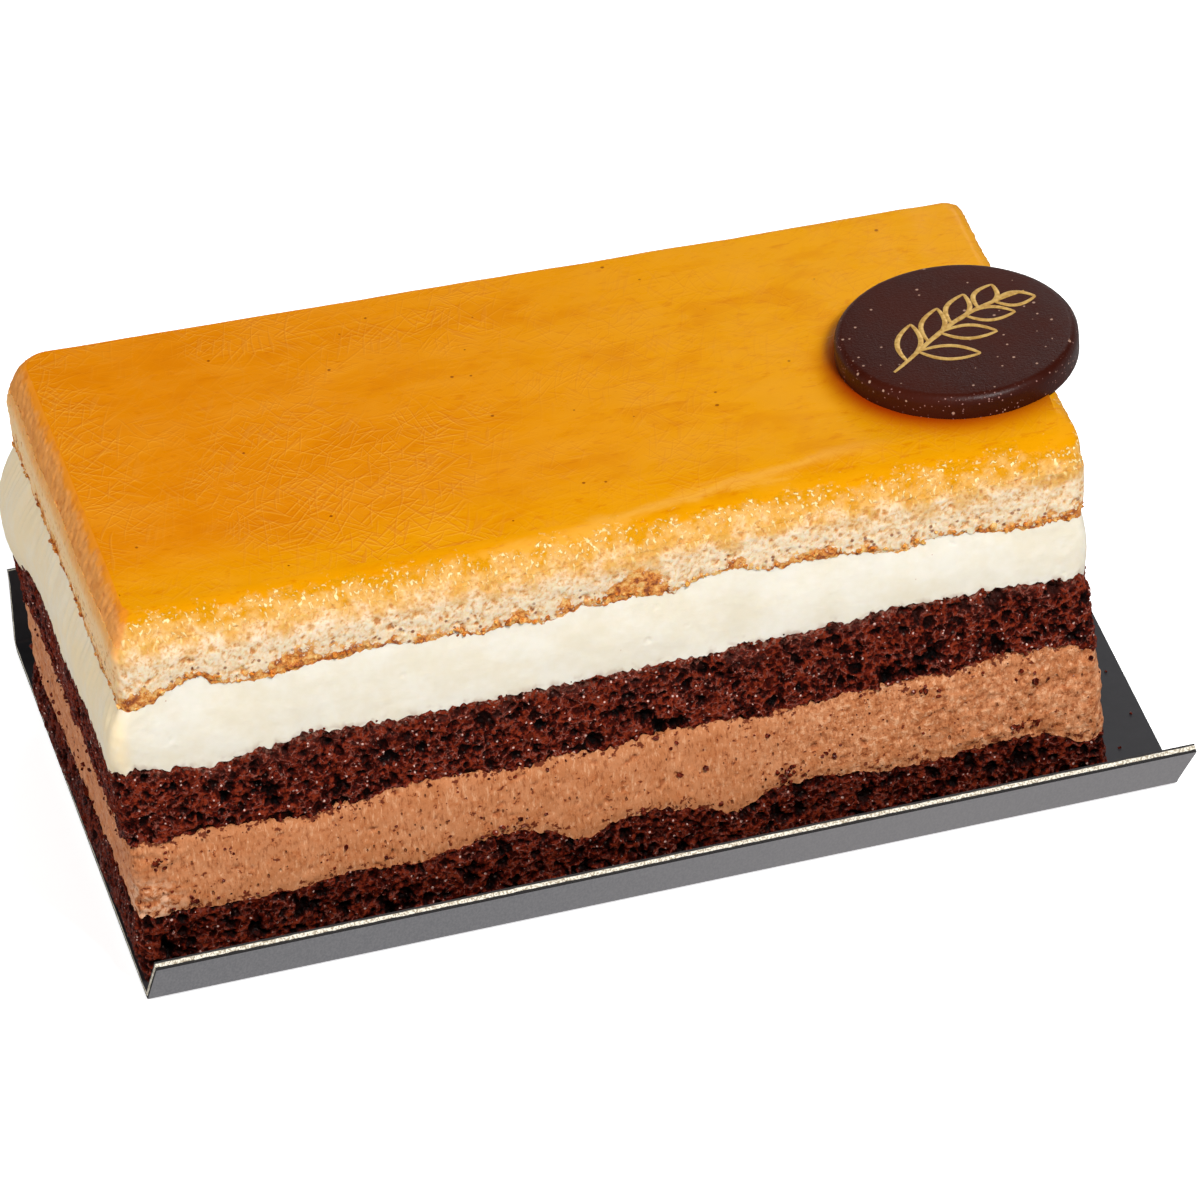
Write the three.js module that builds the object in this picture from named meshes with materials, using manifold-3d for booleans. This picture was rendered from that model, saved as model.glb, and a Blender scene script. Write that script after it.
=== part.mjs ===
// A layered cream cake, cut as a bar and standing on its folded card tray. Millimetres, +Z up.
// From the card up: dark cocoa sponge, milk chocolate mousse, dark cocoa sponge, white cream,
// pale vanilla sponge and a set fruit jelly, with a plain round of dark chocolate at one end.
// Places are measured from the middle of the bar's length, from its front face and from the table.
import * as THREE from 'three';
import { mergeVertices } from 'three/addons/utils/BufferGeometryUtils.js';
import Module from 'manifold-3d';

const wasm = await Module();
wasm.setup();

// ---- driving sizes ----
const gap = 0.3; // clearance between neighbouring pieces
const cake = {
  length: 105,
  widthLeft: 53.3, // the bar was cut a little wider at its left end
  widthRight: 49.1,
  leftSkew: 0.4, // the left end is cut askew: its back corner lies further out
  top: 46.1, // height above the table at the middle
  topTilt: -0.0152, // the top falls towards the right end
};
const tray = {
  card: 1.0, // thickness
  left: -52.4,
  right: 60.0, // the card runs on past the cake's right end
  front: -0.85, // the folds, on the table
  back: 66.4,
  lip: 9.0, // from the fold to the cut edge
  frontLean: 56, // degrees above the table
  backLean: 72,
  bend: 0.6, // inside radius of a fold
  skewLeft: 0.5, // the lips' ends slant to the right
  skewRight: 1.1,
};
const disc = {
  radius: 12.9,
  thickness: 3.4,
  topRound: 1.0,
  footRound: 0.6,
  x: 44.3,
  y: 20.3,
  foot: 45.4, // height of its underside, a little way into the jelly
};
// How each side rounds over into the top: from the height where it starts, over the width that it
// takes from the top, square-shouldered where the power is high and slanted where it is low.
const shoulders = {
  front: { start: 41.8, width: 4.2, power: 2 },
  back: { start: 44.9, width: 0.9, power: 2 },
  left: { start: 42.4, width: 2.5, power: 1.4 },
  right: { start: 44.4, width: 1.3, power: 2 },
};
const frontSlope = { widthLeft: 13, widthRight: 6.6, drop: 0.5 }; // the jelly thins behind its front edge
const cornerRound = { frontLeft: 1.6, frontRight: 1.6, backRight: 1.7, backLeft: 2.8 };
const backFace = { shift: 4, stretch: 0.9, rise: 0.8 }; // its bumps are the front's, mirrored and lower
const mesh = {
  longSide: 30, // steps along the front and the back
  shortSide: 13,
  corner: 3,
  innerShare: 0.78, // size of the ring inside a layer's floor and top
  jellySide: 5,
  jellyTopShares: [0.92, 0.82, 0.6],
  discSides: 48,
  mergeWithin: 1e-4,
};
const waveTurn = { x: 0.11, y: 0.31 }; // radians per millimetre of the slow wave in every seam

// The cut lines between the layers, as they run along the front face. A bump is [x, half width, rise].
// Reach is how far each line stands out from the plain block at its four sides.
const seams = {
  foot: {
    height: tray.card + gap / 2, tilt: 0, wave: 0, bumps: [],
    reach: { left: -0.6, right: 0.3, front: -0.2, back: 0.2 },
  },
  mousseFloor: {
    height: 9.6, tilt: -0.008, wave: 0.25,
    bumps: [[-29, 3, 0.5], [-22, 2.5, -0.5], [-13, 6, 1.1], [-4.3, 2.4, -1.5], [4, 4, 0.6],
      [12, 2.6, -1.5], [21, 4, 0.6], [32, 6, -0.6], [51, 3.2, -2.0]],
    reach: { left: -0.2, right: 0.3, front: -0.1, back: 0.2 },
  },
  mousseTop: {
    height: 19.8, tilt: 0.009, wave: 0.15,
    bumps: [[-34, 4, -0.7], [-20, 6, 0.6], [-10, 2, -0.5], [-1, 2, -0.6], [15, 3, -0.4],
      [44, 8, 0.5], [52.5, 1.8, -1.8]],
    reach: { left: 0.1, right: 0.2, front: 0.1, back: 0.1 },
  },
  creamFloor: {
    height: 28.9, tilt: 0.008, wave: 0.15,
    bumps: [[-51, 3, 0.7], [-43, 3.5, -0.8], [-32, 3, 0.6], [-12, 9, -0.3], [30.8, 3, 0.6],
      [52, 5, -0.7]],
    sag: { x: -52.5, y: 50, spread: 7.5, depth: 3.8 }, // the cream slumps over the back left corner
    reach: { left: 0.7, right: -0.6, front: 0.0, back: 0.0 },
  },
  creamTop: {
    height: 37.8, tilt: -0.004, wave: 0.2,
    bumps: [[-50.5, 2.8, -1.8], [-43.7, 1.5, 1.2], [-37, 4.5, -0.8], [-23.5, 3, 0.6],
      [-13, 2, -0.4], [-5.7, 2, -0.9], [6.7, 2, -0.5], [13, 3, 0.8], [31.5, 3, -1.0],
      [45, 5, -1.2], [52, 3, -1.2]],
    reach: { left: -0.9, right: -0.6, front: 0.0, back: 0.0 },
  },
  jellyFloor: {
    height: 43.2, tilt: cake.topTilt, wave: 0.15, bumps: [],
    reach: { left: -0.7, right: 0.0, front: 0.0, back: 0.3 },
  },
};

// The layers from the card up. Each lies between two seams. Rows is the number of steps up its side,
// crag the depth of its crumb, and bulge how far its middle stands out.
const layers = [
  {
    name: 'base_sponge', floor: 'foot', top: 'mousseFloor', rows: 4, crag: 0.35,
    bulge: { left: 0.5, right: 0.2, front: 0.0, back: 0.2 }, color: 0x35140d, roughness: 0.8,
  },
  {
    name: 'chocolate_mousse', floor: 'mousseFloor', top: 'mousseTop', rows: 3, crag: 0.1,
    bulge: { left: -0.2, right: 0.1, front: 0.1, back: 0.1 }, color: 0xa86d4a, roughness: 0.55,
  },
  {
    name: 'middle_sponge', floor: 'mousseTop', top: 'creamFloor', rows: 4, crag: 0.35,
    bulge: { left: 0.0, right: 0.1, front: -0.1, back: 0.0 }, color: 0x46201a, roughness: 0.75,
  },
  {
    name: 'white_cream', floor: 'creamFloor', top: 'creamTop', rows: 3, crag: 0.06,
    bulge: { left: 0.7, right: 0.4, front: 0.2, back: 0.5 },
    // The cream stands out most near the back of the left end, and falls off fast along the bar.
    slump: { y: 46, spread: 8, depth: 1.0, power: 9 },
    color: 0xf1ead6, roughness: 0.45,
  },
  {
    name: 'vanilla_sponge', floor: 'creamTop', top: 'jellyFloor', rows: 4, crag: 0.25,
    bulge: { left: 0.0, right: 0.1, front: 0.1, back: 0.1 }, color: 0xe9c78f, roughness: 0.8,
  },
];

// ---- small helpers ----
const sideNames = ['left', 'right', 'front', 'back'];
const mix = (a, b, t) => a + (b - a) * t;
const clamp01 = (t) => Math.min(1, Math.max(0, t));
const smooth = (t) => clamp01(t) ** 2 * (3 - 2 * clamp01(t));
const hill = (distance, halfWidth) => Math.exp(-((distance / halfWidth) ** 2));
const radians = THREE.MathUtils.degToRad;
const widthAt = (x) => mix(cake.widthLeft, cake.widthRight, x / cake.length + 0.5);

// A repeatable number from -1 to 1 for one place in the crumb.
function crumb(i, j, seed) {
  const s = Math.sin(i * 12.9898 + j * 78.233 + seed * 37.719) * 43758.5453;
  return 2 * (s - Math.floor(s)) - 1;
}

// ---- heights ----
function bumpsAt(bumps, x) {
  return bumps.reduce((sum, [at, half, rise]) => sum + rise * hill(x - at, half), 0);
}

// Height of a seam. The bumps of the front face fade towards the back, where mirrored ones rise.
function seamHeight(seam, x, y) {
  const depth = smooth(y / widthAt(x));
  const mirrored = backFace.rise * bumpsAt(seam.bumps, backFace.shift - backFace.stretch * x);
  const bumps = mix(bumpsAt(seam.bumps, x), mirrored, depth);
  const wave = seam.wave * Math.sin(waveTurn.x * x + waveTurn.y * y + seam.height);
  const sag = seam.sag
    ? seam.sag.depth * hill(Math.hypot(x - seam.sag.x, y - seam.sag.y), seam.sag.spread)
    : 0;
  return seam.height + seam.tilt * x + bumps + wave - sag;
}

// Height of the jelly's upper face, which slopes down a little before the rounded front edge.
function topHeight(x, y) {
  const width = mix(frontSlope.widthLeft, frontSlope.widthRight, x / cake.length + 0.5);
  const slope = smooth((width - y) / (width - shoulders.front.width / 2));
  return cake.top + cake.topTilt * x - frontSlope.drop * slope;
}

// ---- outlines ----
const mixSides = (a, b, t) => Object.fromEntries(sideNames.map((s) => [s, mix(a[s], b[s], t)]));
const addSides = (a, b, k) => Object.fromEntries(sideNames.map((s) => [s, a[s] + k * b[s]]));

// A loop of points, anticlockwise from above, round the block with each side moved out by its own amount.
function outline(out) {
  const left = -cake.length / 2 - out.left;
  const right = cake.length / 2 + out.right;
  const corners = [
    { x: left, y: -out.front, r: cornerRound.frontLeft, turn: 180, towards: [1, 1] },
    { x: right, y: -out.front, r: cornerRound.frontRight, turn: 270, towards: [-1, 1] },
    { x: right, y: cake.widthRight + out.back, r: cornerRound.backRight, turn: 0, towards: [-1, -1] },
    {
      x: left - cake.leftSkew,
      y: cake.widthLeft + out.back,
      r: cornerRound.backLeft,
      turn: 90,
      towards: [1, -1],
    },
  ];
  const arcs = corners.map(({ x, y, r, turn, towards }) =>
    Array.from({ length: mesh.corner + 1 }, (_, k) => {
      const angle = radians(turn + (90 * k) / mesh.corner);
      return new THREE.Vector2(
        x + towards[0] * r + r * Math.cos(angle),
        y + towards[1] * r + r * Math.sin(angle),
      );
    }));
  return arcs.flatMap((arc, c) => {
    const steps = c % 2 === 0 ? mesh.longSide : mesh.shortSide;
    const from = arc[mesh.corner];
    const to = arcs[(c + 1) % 4][0];
    const side = Array.from({ length: steps - 1 }, (_, k) => from.clone().lerp(to, (k + 1) / steps));
    return [...arc, ...side];
  });
}

// A point of an outline at a height, moved in where the sides have begun to round over.
function onShoulder(p, z) {
  const halfLength = cake.length / 2;
  const halfWidth = widthAt(p.x) / 2;
  const across = p.y - halfWidth;
  const moveIn = ({ start, width, power }) => {
    const rise = clamp01((z - start) / (topHeight(p.x, p.y) - start));
    return width * (1 - (1 - rise ** power) ** (1 / power));
  };
  const endMove = moveIn(p.x < 0 ? shoulders.left : shoulders.right);
  const sideMove = moveIn(across < 0 ? shoulders.front : shoulders.back);
  return new THREE.Vector3(
    p.x * (1 - endMove / halfLength),
    halfWidth + across * (1 - sideMove / halfWidth),
    z,
  );
}

// A loop shrunk towards the middle of the block and laid on a height.
function shrunk(loop, share, height) {
  return loop.map((p) => {
    const x = p.x * share;
    const y = mix(widthAt(p.x) / 2, p.y, share);
    return new THREE.Vector3(x, y, height(x, y));
  });
}

// ---- solids ----
// A closed body through a stack of loops from the bottom up, each end closed onto a middle point.
function stackSolid(loops, floorHeight, topFaceHeight) {
  const count = loops[0].length;
  const last = (loops.length - 1) * count;
  const points = loops.flat();
  const middleY = widthAt(0) / 2;
  const low = points.length;
  const high = low + 1;
  points.push(new THREE.Vector3(0, middleY, floorHeight(0, middleY)));
  points.push(new THREE.Vector3(0, middleY, topFaceHeight(0, middleY)));
  const faces = [];
  for (let i = 0; i < count; i++) {
    const next = (i + 1) % count;
    faces.push(low, next, i);
    faces.push(high, last + i, last + next);
    for (let below = 0; below < last; below += count) {
      const above = below + count;
      // The top's squares are split as the floor's are, so that two layers meet facet to facet.
      const capped = above === last;
      faces.push(below + i, below + next, capped ? above + i : above + next);
      faces.push(capped ? below + next : below + i, above + next, above + i);
    }
  }
  const geometry = new THREE.BufferGeometry().setFromPoints(points);
  geometry.setIndex(faces);
  return geometry;
}

function layerGeometry(layer, seed) {
  const cragCentre = 0.6; // crags move towards the middle line, at this share of their own x
  const floor = seams[layer.floor];
  const top = seams[layer.top];
  const floorHeight = (x, y) => seamHeight(floor, x, y) + gap / 2;
  const topFaceHeight = (x, y) => seamHeight(top, x, y) - gap / 2;
  const loops = [];
  for (let row = 0; row <= layer.rows; row++) {
    const t = row / layer.rows;
    const belly = Math.sin(Math.PI * t);
    const atSeam = row === 0 || row === layer.rows;
    const out = addSides(mixSides(floor.reach, top.reach, t), layer.bulge, belly);
    loops.push(outline(out).map((p, i) => {
      const z = mix(floorHeight(p.x, p.y), topFaceHeight(p.x, p.y), t);
      const inward = new THREE.Vector2(cragCentre * p.x, widthAt(p.x) / 2).sub(p).normalize();
      if (!atSeam) p.addScaledVector(inward, layer.crag * crumb(i, row, seed));
      if (layer.slump && p.x < 0)
        p.x -= layer.slump.depth * belly * hill(p.y - layer.slump.y, layer.slump.spread)
          * Math.abs(p.x / (cake.length / 2)) ** layer.slump.power;
      return onShoulder(p, z);
    }));
  }
  const stack = [
    shrunk(loops[0], mesh.innerShare, floorHeight),
    ...loops,
    shrunk(loops[layer.rows], mesh.innerShare, topFaceHeight),
  ];
  return stackSolid(stack, floorHeight, topFaceHeight);
}

function jellyGeometry() {
  const rim = outline(seams.jellyFloor.reach);
  const floorHeight = (x, y) => seamHeight(seams.jellyFloor, x, y) + gap / 2;
  const sideLoop = (t) => rim.map((p) =>
    onShoulder(p, mix(floorHeight(p.x, p.y), topHeight(p.x, p.y), Math.sin((Math.PI / 2) * t))));
  const loops = Array.from({ length: mesh.jellySide + 1 }, (_, k) => sideLoop(k / mesh.jellySide));
  const stack = [
    shrunk(loops[0], mesh.innerShare, floorHeight),
    ...loops,
    ...mesh.jellyTopShares.map((share) => shrunk(loops[mesh.jellySide], share, topHeight)),
  ];
  return stackSolid(stack, floorHeight, topHeight);
}

// The chocolate round in its place, grown by extra on all sides.
function discGeometry(extra = 0) {
  const radius = disc.radius + extra;
  const high = disc.thickness + extra;
  const profile = [new THREE.Vector2(0, -extra)];
  const arc = (inset, height, r, from, steps) => {
    for (let k = 0; k <= steps; k++) {
      const angle = radians(from + (90 * k) / steps);
      profile.push(new THREE.Vector2(radius - inset + r * Math.cos(angle), height + r * Math.sin(angle)));
    }
  };
  arc(disc.footRound, disc.footRound - extra, disc.footRound, -90, 2);
  arc(disc.topRound, high - disc.topRound, disc.topRound, 0, 4);
  profile.push(new THREE.Vector2(0, high));
  const geometry = new THREE.LatheGeometry(profile, mesh.discSides);
  geometry.rotateX(Math.PI / 2);
  geometry.rotateY(-Math.atan(cake.topTilt));
  geometry.translate(disc.x, disc.y, disc.foot);
  return geometry;
}

// One lip's section in the table's Y and Z: its outside from the fold up, then its inside back down.
function lipSection(fold, sign, lean) {
  const angle = radians(lean);
  const outer = tray.bend + tray.card;
  const straight = tray.lip - outer * Math.tan(angle / 2);
  const centreY = fold - sign * outer * Math.tan(angle / 2);
  const face = (r) => {
    const bend = [0, 1 / 3, 2 / 3, 1].map((t) => new THREE.Vector2(
      centreY + sign * r * Math.sin(angle * t),
      outer - r * Math.cos(angle * t),
    ));
    const edge = bend[3].clone();
    edge.x += sign * straight * Math.cos(angle);
    edge.y += straight * Math.sin(angle);
    return [...bend, edge];
  };
  return [...face(outer), ...face(tray.bend).reverse()];
}

function trayGeometry() {
  const section = new THREE.Shape([
    ...lipSection(tray.back, 1, tray.backLean),
    ...lipSection(tray.front, -1, tray.frontLean).reverse(),
  ]);
  const geometry = new THREE.ExtrudeGeometry(section, {
    depth: tray.right - tray.left,
    bevelEnabled: false,
  });
  const alongX = new THREE.Matrix4().makeBasis(
    new THREE.Vector3(0, 1, 0),
    new THREE.Vector3(0, 0, 1),
    new THREE.Vector3(1, 0, 0),
  );
  geometry.applyMatrix4(alongX);
  geometry.translate(tray.left, 0, 0);
  const position = geometry.attributes.position;
  const lipTop = tray.lip * Math.sin(radians(tray.frontLean));
  for (let i = 0; i < position.count; i++) {
    const skew = position.getX(i) < 0 ? tray.skewLeft : tray.skewRight;
    const up = clamp01((position.getZ(i) - tray.card) / (lipTop - tray.card));
    position.setX(i, position.getX(i) + skew * up);
  }
  return geometry;
}

// ---- the jelly's dent for the chocolate round ----
function toManifold(geometry) {
  const bare = geometry.clone();
  bare.deleteAttribute('normal');
  bare.deleteAttribute('uv');
  const merged = mergeVertices(bare, mesh.mergeWithin);
  return new wasm.Manifold(new wasm.Mesh({
    numProp: 3,
    vertProperties: new Float32Array(merged.attributes.position.array),
    triVerts: new Uint32Array(merged.index.array),
  }));
}

function difference(body, tool) {
  const { vertProperties, triVerts } = toManifold(body).subtract(toManifold(tool)).getMesh();
  const geometry = new THREE.BufferGeometry();
  geometry.setAttribute('position', new THREE.BufferAttribute(vertProperties, 3));
  geometry.setIndex(new THREE.BufferAttribute(triVerts, 1));
  return geometry;
}

// ---- the whole ----
function node(name, geometry, color, roughness, metalness = 0) {
  geometry.computeVertexNormals();
  const material = new THREE.MeshStandardMaterial({ color, roughness, metalness });
  const piece = new THREE.Mesh(geometry, material);
  piece.name = name;
  return piece;
}

const object = new THREE.Group();
object.add(node('card_tray', trayGeometry(), 0x6d6c70, 0.45, 0.3));
layers.forEach((layer, k) =>
  object.add(node(layer.name, layerGeometry(layer, k + 1), layer.color, layer.roughness)));
object.add(node('jelly_glaze', difference(jellyGeometry(), discGeometry(gap)), 0xe8920c, 0.15));
object.add(node('chocolate_disc', discGeometry(), 0x3d211c, 0.4));

// The origin lies under the middle of the whole, on the table.
const box = new THREE.Box3().setFromObject(object);
object.position.set(-(box.min.x + box.max.x) / 2, -(box.min.y + box.max.y) / 2, 0);

export default object;
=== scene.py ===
import math
import random

import bmesh
import bpy
from mathutils import Matrix, Vector, kdtree, noise


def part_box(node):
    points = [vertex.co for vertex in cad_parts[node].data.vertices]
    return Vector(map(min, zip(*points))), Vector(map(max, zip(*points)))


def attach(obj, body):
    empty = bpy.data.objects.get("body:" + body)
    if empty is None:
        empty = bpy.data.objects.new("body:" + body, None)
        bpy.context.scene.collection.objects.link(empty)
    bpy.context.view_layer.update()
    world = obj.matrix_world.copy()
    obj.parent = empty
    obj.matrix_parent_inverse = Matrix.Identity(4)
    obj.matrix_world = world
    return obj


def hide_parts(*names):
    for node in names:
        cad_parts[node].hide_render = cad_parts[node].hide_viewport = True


# A bar of layered cream cake on its folded card tray. Sizes are in millimetres, in the cake's own
# frame: x from the middle of the bar's length, y from its front face, z from the table.

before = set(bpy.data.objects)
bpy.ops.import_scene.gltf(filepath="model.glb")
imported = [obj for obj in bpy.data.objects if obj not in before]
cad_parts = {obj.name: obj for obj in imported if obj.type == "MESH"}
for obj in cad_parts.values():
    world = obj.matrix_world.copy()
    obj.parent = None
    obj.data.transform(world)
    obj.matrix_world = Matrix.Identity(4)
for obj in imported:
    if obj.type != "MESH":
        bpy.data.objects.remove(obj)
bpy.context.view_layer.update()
scene = bpy.context.scene
mm = 0.001
noise.seed_set(4)  # noise_vector would follow the clock without it

cake = {
    "length": 105,
    "widthLeft": 53.3,
    "widthRight": 49.1,
    "leftSkew": 0.4,
    "top": 46.1,
    "topTilt": -0.0152,
    "frontSlope": {"widthLeft": 13, "widthRight": 6.6, "drop": 0.5},
    "backFace": {"shift": 4, "stretch": 0.9, "rise": 0.8},  # its seams mirror the front's, lower
    "waveTurn": {"x": 0.11, "y": 0.31},
    "leftRagged": 0.7,  # how much rougher the seams are on the left end
    "ledge": 1.8,  # how far each layer reaches in behind its wall
    "above": 60,  # a height over all shoulders
}
cornerRound = {"frontLeft": 1.6, "frontRight": 1.6, "backRight": 1.7, "backLeft": 2.8}
shoulders = {
    "front": {"start": 41.8, "width": 4.2, "power": 2},
    "back": {"start": 44.9, "width": 0.9, "power": 2},
    "left": {"start": 42.4, "width": 2.5, "power": 1.4},
    "right": {"start": 44.4, "width": 1.3, "power": 2},
}
tray = {
    "card": 1.0,
    "left": -52.4,
    "right": 60.0,
    "front": -0.85,
    "back": 66.4,
    "lip": 9.0,
    "frontLean": 56,
    "backLean": 72,
    "bend": 0.6,
    "skewLeft": 0.5,
    "skewRight": 1.1,
    "cell": 0.75,
    "coreRough": 0.06,
    "plies": 4,
}
disc = {"radius": 12.9, "thickness": 3.4, "topRound": 1.0, "footRound": 0.6, "x": 44.3, "y": 20.3,
        "foot": 45.4, "underPrint": 0.06}

# the seams between the layers along the front face, a bump being (x, half width, rise)
seams = {
    "foot": {"height": 1.0, "tilt": 0, "wave": 0, "bumps": [], "ragged": 0,
             "reach": {"left": -0.6, "right": 0.3, "front": -0.2, "back": 0.2}},
    "mousseFloor": {
        "height": 9.6, "tilt": -0.008, "wave": 0.25, "ragged": 0.42,
        "bumps": [(-29, 3, 0.5), (-22, 2.5, -0.5), (-13, 6, 1.1), (-4.3, 2.4, -1.5), (4, 4, 0.6),
                  (12, 2.6, -1.5), (21, 4, 0.6), (32, 6, -0.6), (51, 3.2, -2.0)],
        "reach": {"left": -0.2, "right": 0.3, "front": -0.1, "back": 0.2}},
    "mousseTop": {
        "height": 19.8, "tilt": 0.009, "wave": 0.15, "ragged": 0.42,
        "bumps": [(-34, 4, -0.7), (-20, 6, 0.6), (-10, 2, -0.5), (-1, 2, -0.6), (15, 3, -0.4),
                  (44, 8, 0.5), (52.5, 1.8, -1.8)],
        "reach": {"left": 0.1, "right": 0.2, "front": 0.1, "back": 0.1}},
    "creamFloor": {
        "height": 28.9, "tilt": 0.008, "wave": 0.15, "ragged": 0.5,
        "bumps": [(-51, 3, 0.7), (-43, 3.5, -0.8), (-32, 3, 0.6), (-12, 9, -0.3), (30.8, 3, 0.6),
                  (52, 5, -0.7)],
        "sag": {"x": -52.5, "y": 50, "spread": 7.5, "depth": 3.8},
        "reach": {"left": 0.7, "right": -0.6, "front": 0.0, "back": 0.0}},
    "creamTop": {
        "height": 37.8, "tilt": -0.004, "wave": 0.2, "ragged": 0.45,
        "bumps": [(-50.5, 2.8, -1.8), (-43.7, 1.5, 1.2), (-37, 4.5, -0.8), (-23.5, 3, 0.6),
                  (-13, 2, -0.4), (-5.7, 2, -0.9), (6.7, 2, -0.5), (13, 3, 0.8), (31.5, 3, -1.0),
                  (45, 5, -1.2), (52, 3, -1.2)],
        "reach": {"left": -0.9, "right": -0.6, "front": 0.0, "back": 0.0}},
    "jellyFloor": {"height": 43.2, "tilt": -0.0152, "wave": 0.15, "bumps": [], "ragged": 0.12,
                   "reach": {"left": -0.7, "right": 0.0, "front": 0.0, "back": 0.3}},
}

# where the cake's own frame stands in the part's frame
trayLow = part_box("card_tray")[0] / mm
blockX = trayLow.x - tray["left"]
blockY = trayLow.y - (tray["front"] - tray["lip"] * math.cos(math.radians(tray["frontLean"])))


def place(point):
    return Vector((point.x + blockX, point.y + blockY, point.z)) * mm


def mix(a, b, t):
    return a + (b - a) * t


def clamp01(value):
    return min(1.0, max(0.0, value))


def smooth(value):
    t = clamp01(value)
    return t * t * (3 - 2 * t)


def hill(distance, halfWidth):
    return math.exp(-((distance / halfWidth) ** 2))


def rgb(red, green, blue):
    def linear(value):
        value /= 255
        return value / 12.92 if value <= 0.04045 else ((value + 0.055) / 1.055) ** 2.4
    return (linear(red), linear(green), linear(blue), 1.0)


def newPiece(name, bm, materials):
    mesh = bpy.data.meshes.new(name)
    bm.to_mesh(mesh)
    bm.free()
    piece = bpy.data.objects.new(name, mesh)
    scene.collection.objects.link(piece)
    for material in materials:
        mesh.materials.append(material)
    return piece


def settle(bm):
    for v in bm.verts:
        v.co = place(v.co)
    bmesh.ops.recalc_face_normals(bm, faces=bm.faces)


def direction(azimuth, elevation):
    # 0, 0 is straight in front
    a, e = math.radians(azimuth), math.radians(elevation)
    return Vector((math.sin(a) * math.cos(e), -math.cos(a) * math.cos(e), math.sin(e)))


viewpoint = {"azimuth": -11.314, "elevation": 35.32, "roll": -5.076, "lens": 360,
             "distance": 1243.2, "target": Vector((-0.557, -1.22, 39.23))}


def makeCamera():
    back = direction(viewpoint["azimuth"], viewpoint["elevation"])
    right = Vector((0, 0, 1)).cross(back).normalized()
    level = Matrix((right, back.cross(right), back)).transposed()
    roll = Matrix.Rotation(math.radians(viewpoint["roll"]), 3, "Z")
    camera = bpy.data.objects.new("camera", bpy.data.cameras.new("camera"))
    camera.data.lens = viewpoint["lens"]
    camera.data.sensor_width = 36
    spot = place(viewpoint["target"]) + back * viewpoint["distance"] * mm
    camera.matrix_world = Matrix.Translation(spot) @ (level @ roll).to_4x4()
    scene.collection.objects.link(camera)
    scene.camera = camera


# Shader helpers. Each works in the node tree of the sockets it is given.
def treeOf(*values):
    return next(value.id_data for value in values if isinstance(value, bpy.types.NodeSocket))


def fill(node, inputs):
    for key, value in inputs.items():
        if isinstance(value, bpy.types.NodeSocket):
            node.id_data.links.new(value, node.inputs[key])
        else:
            node.inputs[key].default_value = value


def put(tree, kind, inputs=None, **settings):
    node = tree.nodes.new(kind)
    for key, value in settings.items():
        setattr(node, key, value)
    fill(node, inputs or {})
    return node


def math2(operation, a, b=0.0):
    return put(treeOf(a, b), "ShaderNodeMath", {0: a, 1: b}, operation=operation).outputs[0]


def times(first, *others):
    for other in others:
        first = math2("MULTIPLY", first, other)
    return first


def plus(first, *others):
    for other in others:
        first = math2("ADD", first, other)
    return first


def minus(a, b):
    return math2("SUBTRACT", a, b)


def remap(value, low, high, outLow=0.0, outHigh=1.0):
    inputs = {"Value": value, "From Min": low, "From Max": high, "To Min": outLow, "To Max": outHigh}
    return put(treeOf(value), "ShaderNodeMapRange", inputs, interpolation_type="SMOOTHSTEP").outputs["Result"]


def blendColor(factor, a, b, blend="MIX"):
    inputs = {0: factor, 6: a, 7: b}
    return put(treeOf(factor, a, b), "ShaderNodeMix", inputs, data_type="RGBA", blend_type=blend).outputs[2]


def paint(color, colours, *coats):
    # coats are (name of the colour, mask), the last one on top
    for name, mask in coats:
        color = blendColor(mask, color, colours[name])
    return color


def ramp(value, stops):
    node = put(treeOf(value), "ShaderNodeValToRGB", {0: value})
    elements = node.color_ramp.elements
    while len(elements) < len(stops):
        elements.new(0.5)
    for element, (position, color) in zip(elements, stops):
        element.position, element.color = position, color
    return node.outputs["Color"]


def attribute(tree, name):
    return put(tree, "ShaderNodeAttribute", attribute_name=name).outputs["Fac"]


def vectorMath(operation, inputs):
    return put(treeOf(*inputs.values()), "ShaderNodeVectorMath", inputs, operation=operation).outputs


def objectMillimetres(tree):
    coordinates = put(tree, "ShaderNodeTexCoord").outputs["Object"]
    return vectorMath("SCALE", {0: coordinates, "Scale": 1 / mm})[0]


def stretch(vector, x, y, z):
    return vectorMath("MULTIPLY", {0: vector, 1: (x, y, z)})[0]


def axis(vector, name):
    return put(treeOf(vector), "ShaderNodeSeparateXYZ", {0: vector}).outputs[name]


def noiseValue(vector, scale, detail=2.0, roughness=0.5, distortion=0.0):
    inputs = {"Vector": vector, "Scale": scale, "Detail": detail, "Roughness": roughness,
              "Distortion": distortion}
    return put(treeOf(vector), "ShaderNodeTexNoise", inputs).outputs["Fac"]


def bend(vector, scale, detail, amount):
    # the place moved about by a noise, and the noise itself
    inputs = {"Vector": vector, "Scale": scale, "Detail": detail}
    warp = put(treeOf(vector), "ShaderNodeTexNoise", inputs).outputs
    moved = vectorMath("MULTIPLY_ADD", {0: warp["Color"], 1: (amount, amount, amount), 2: vector})[0]
    return moved, warp["Fac"]


def bump(height, distance, strength=1.0):
    inputs = {"Height": height, "Distance": distance * mm, "Strength": strength}
    return put(treeOf(height), "ShaderNodeBump", inputs).outputs["Normal"]


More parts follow.
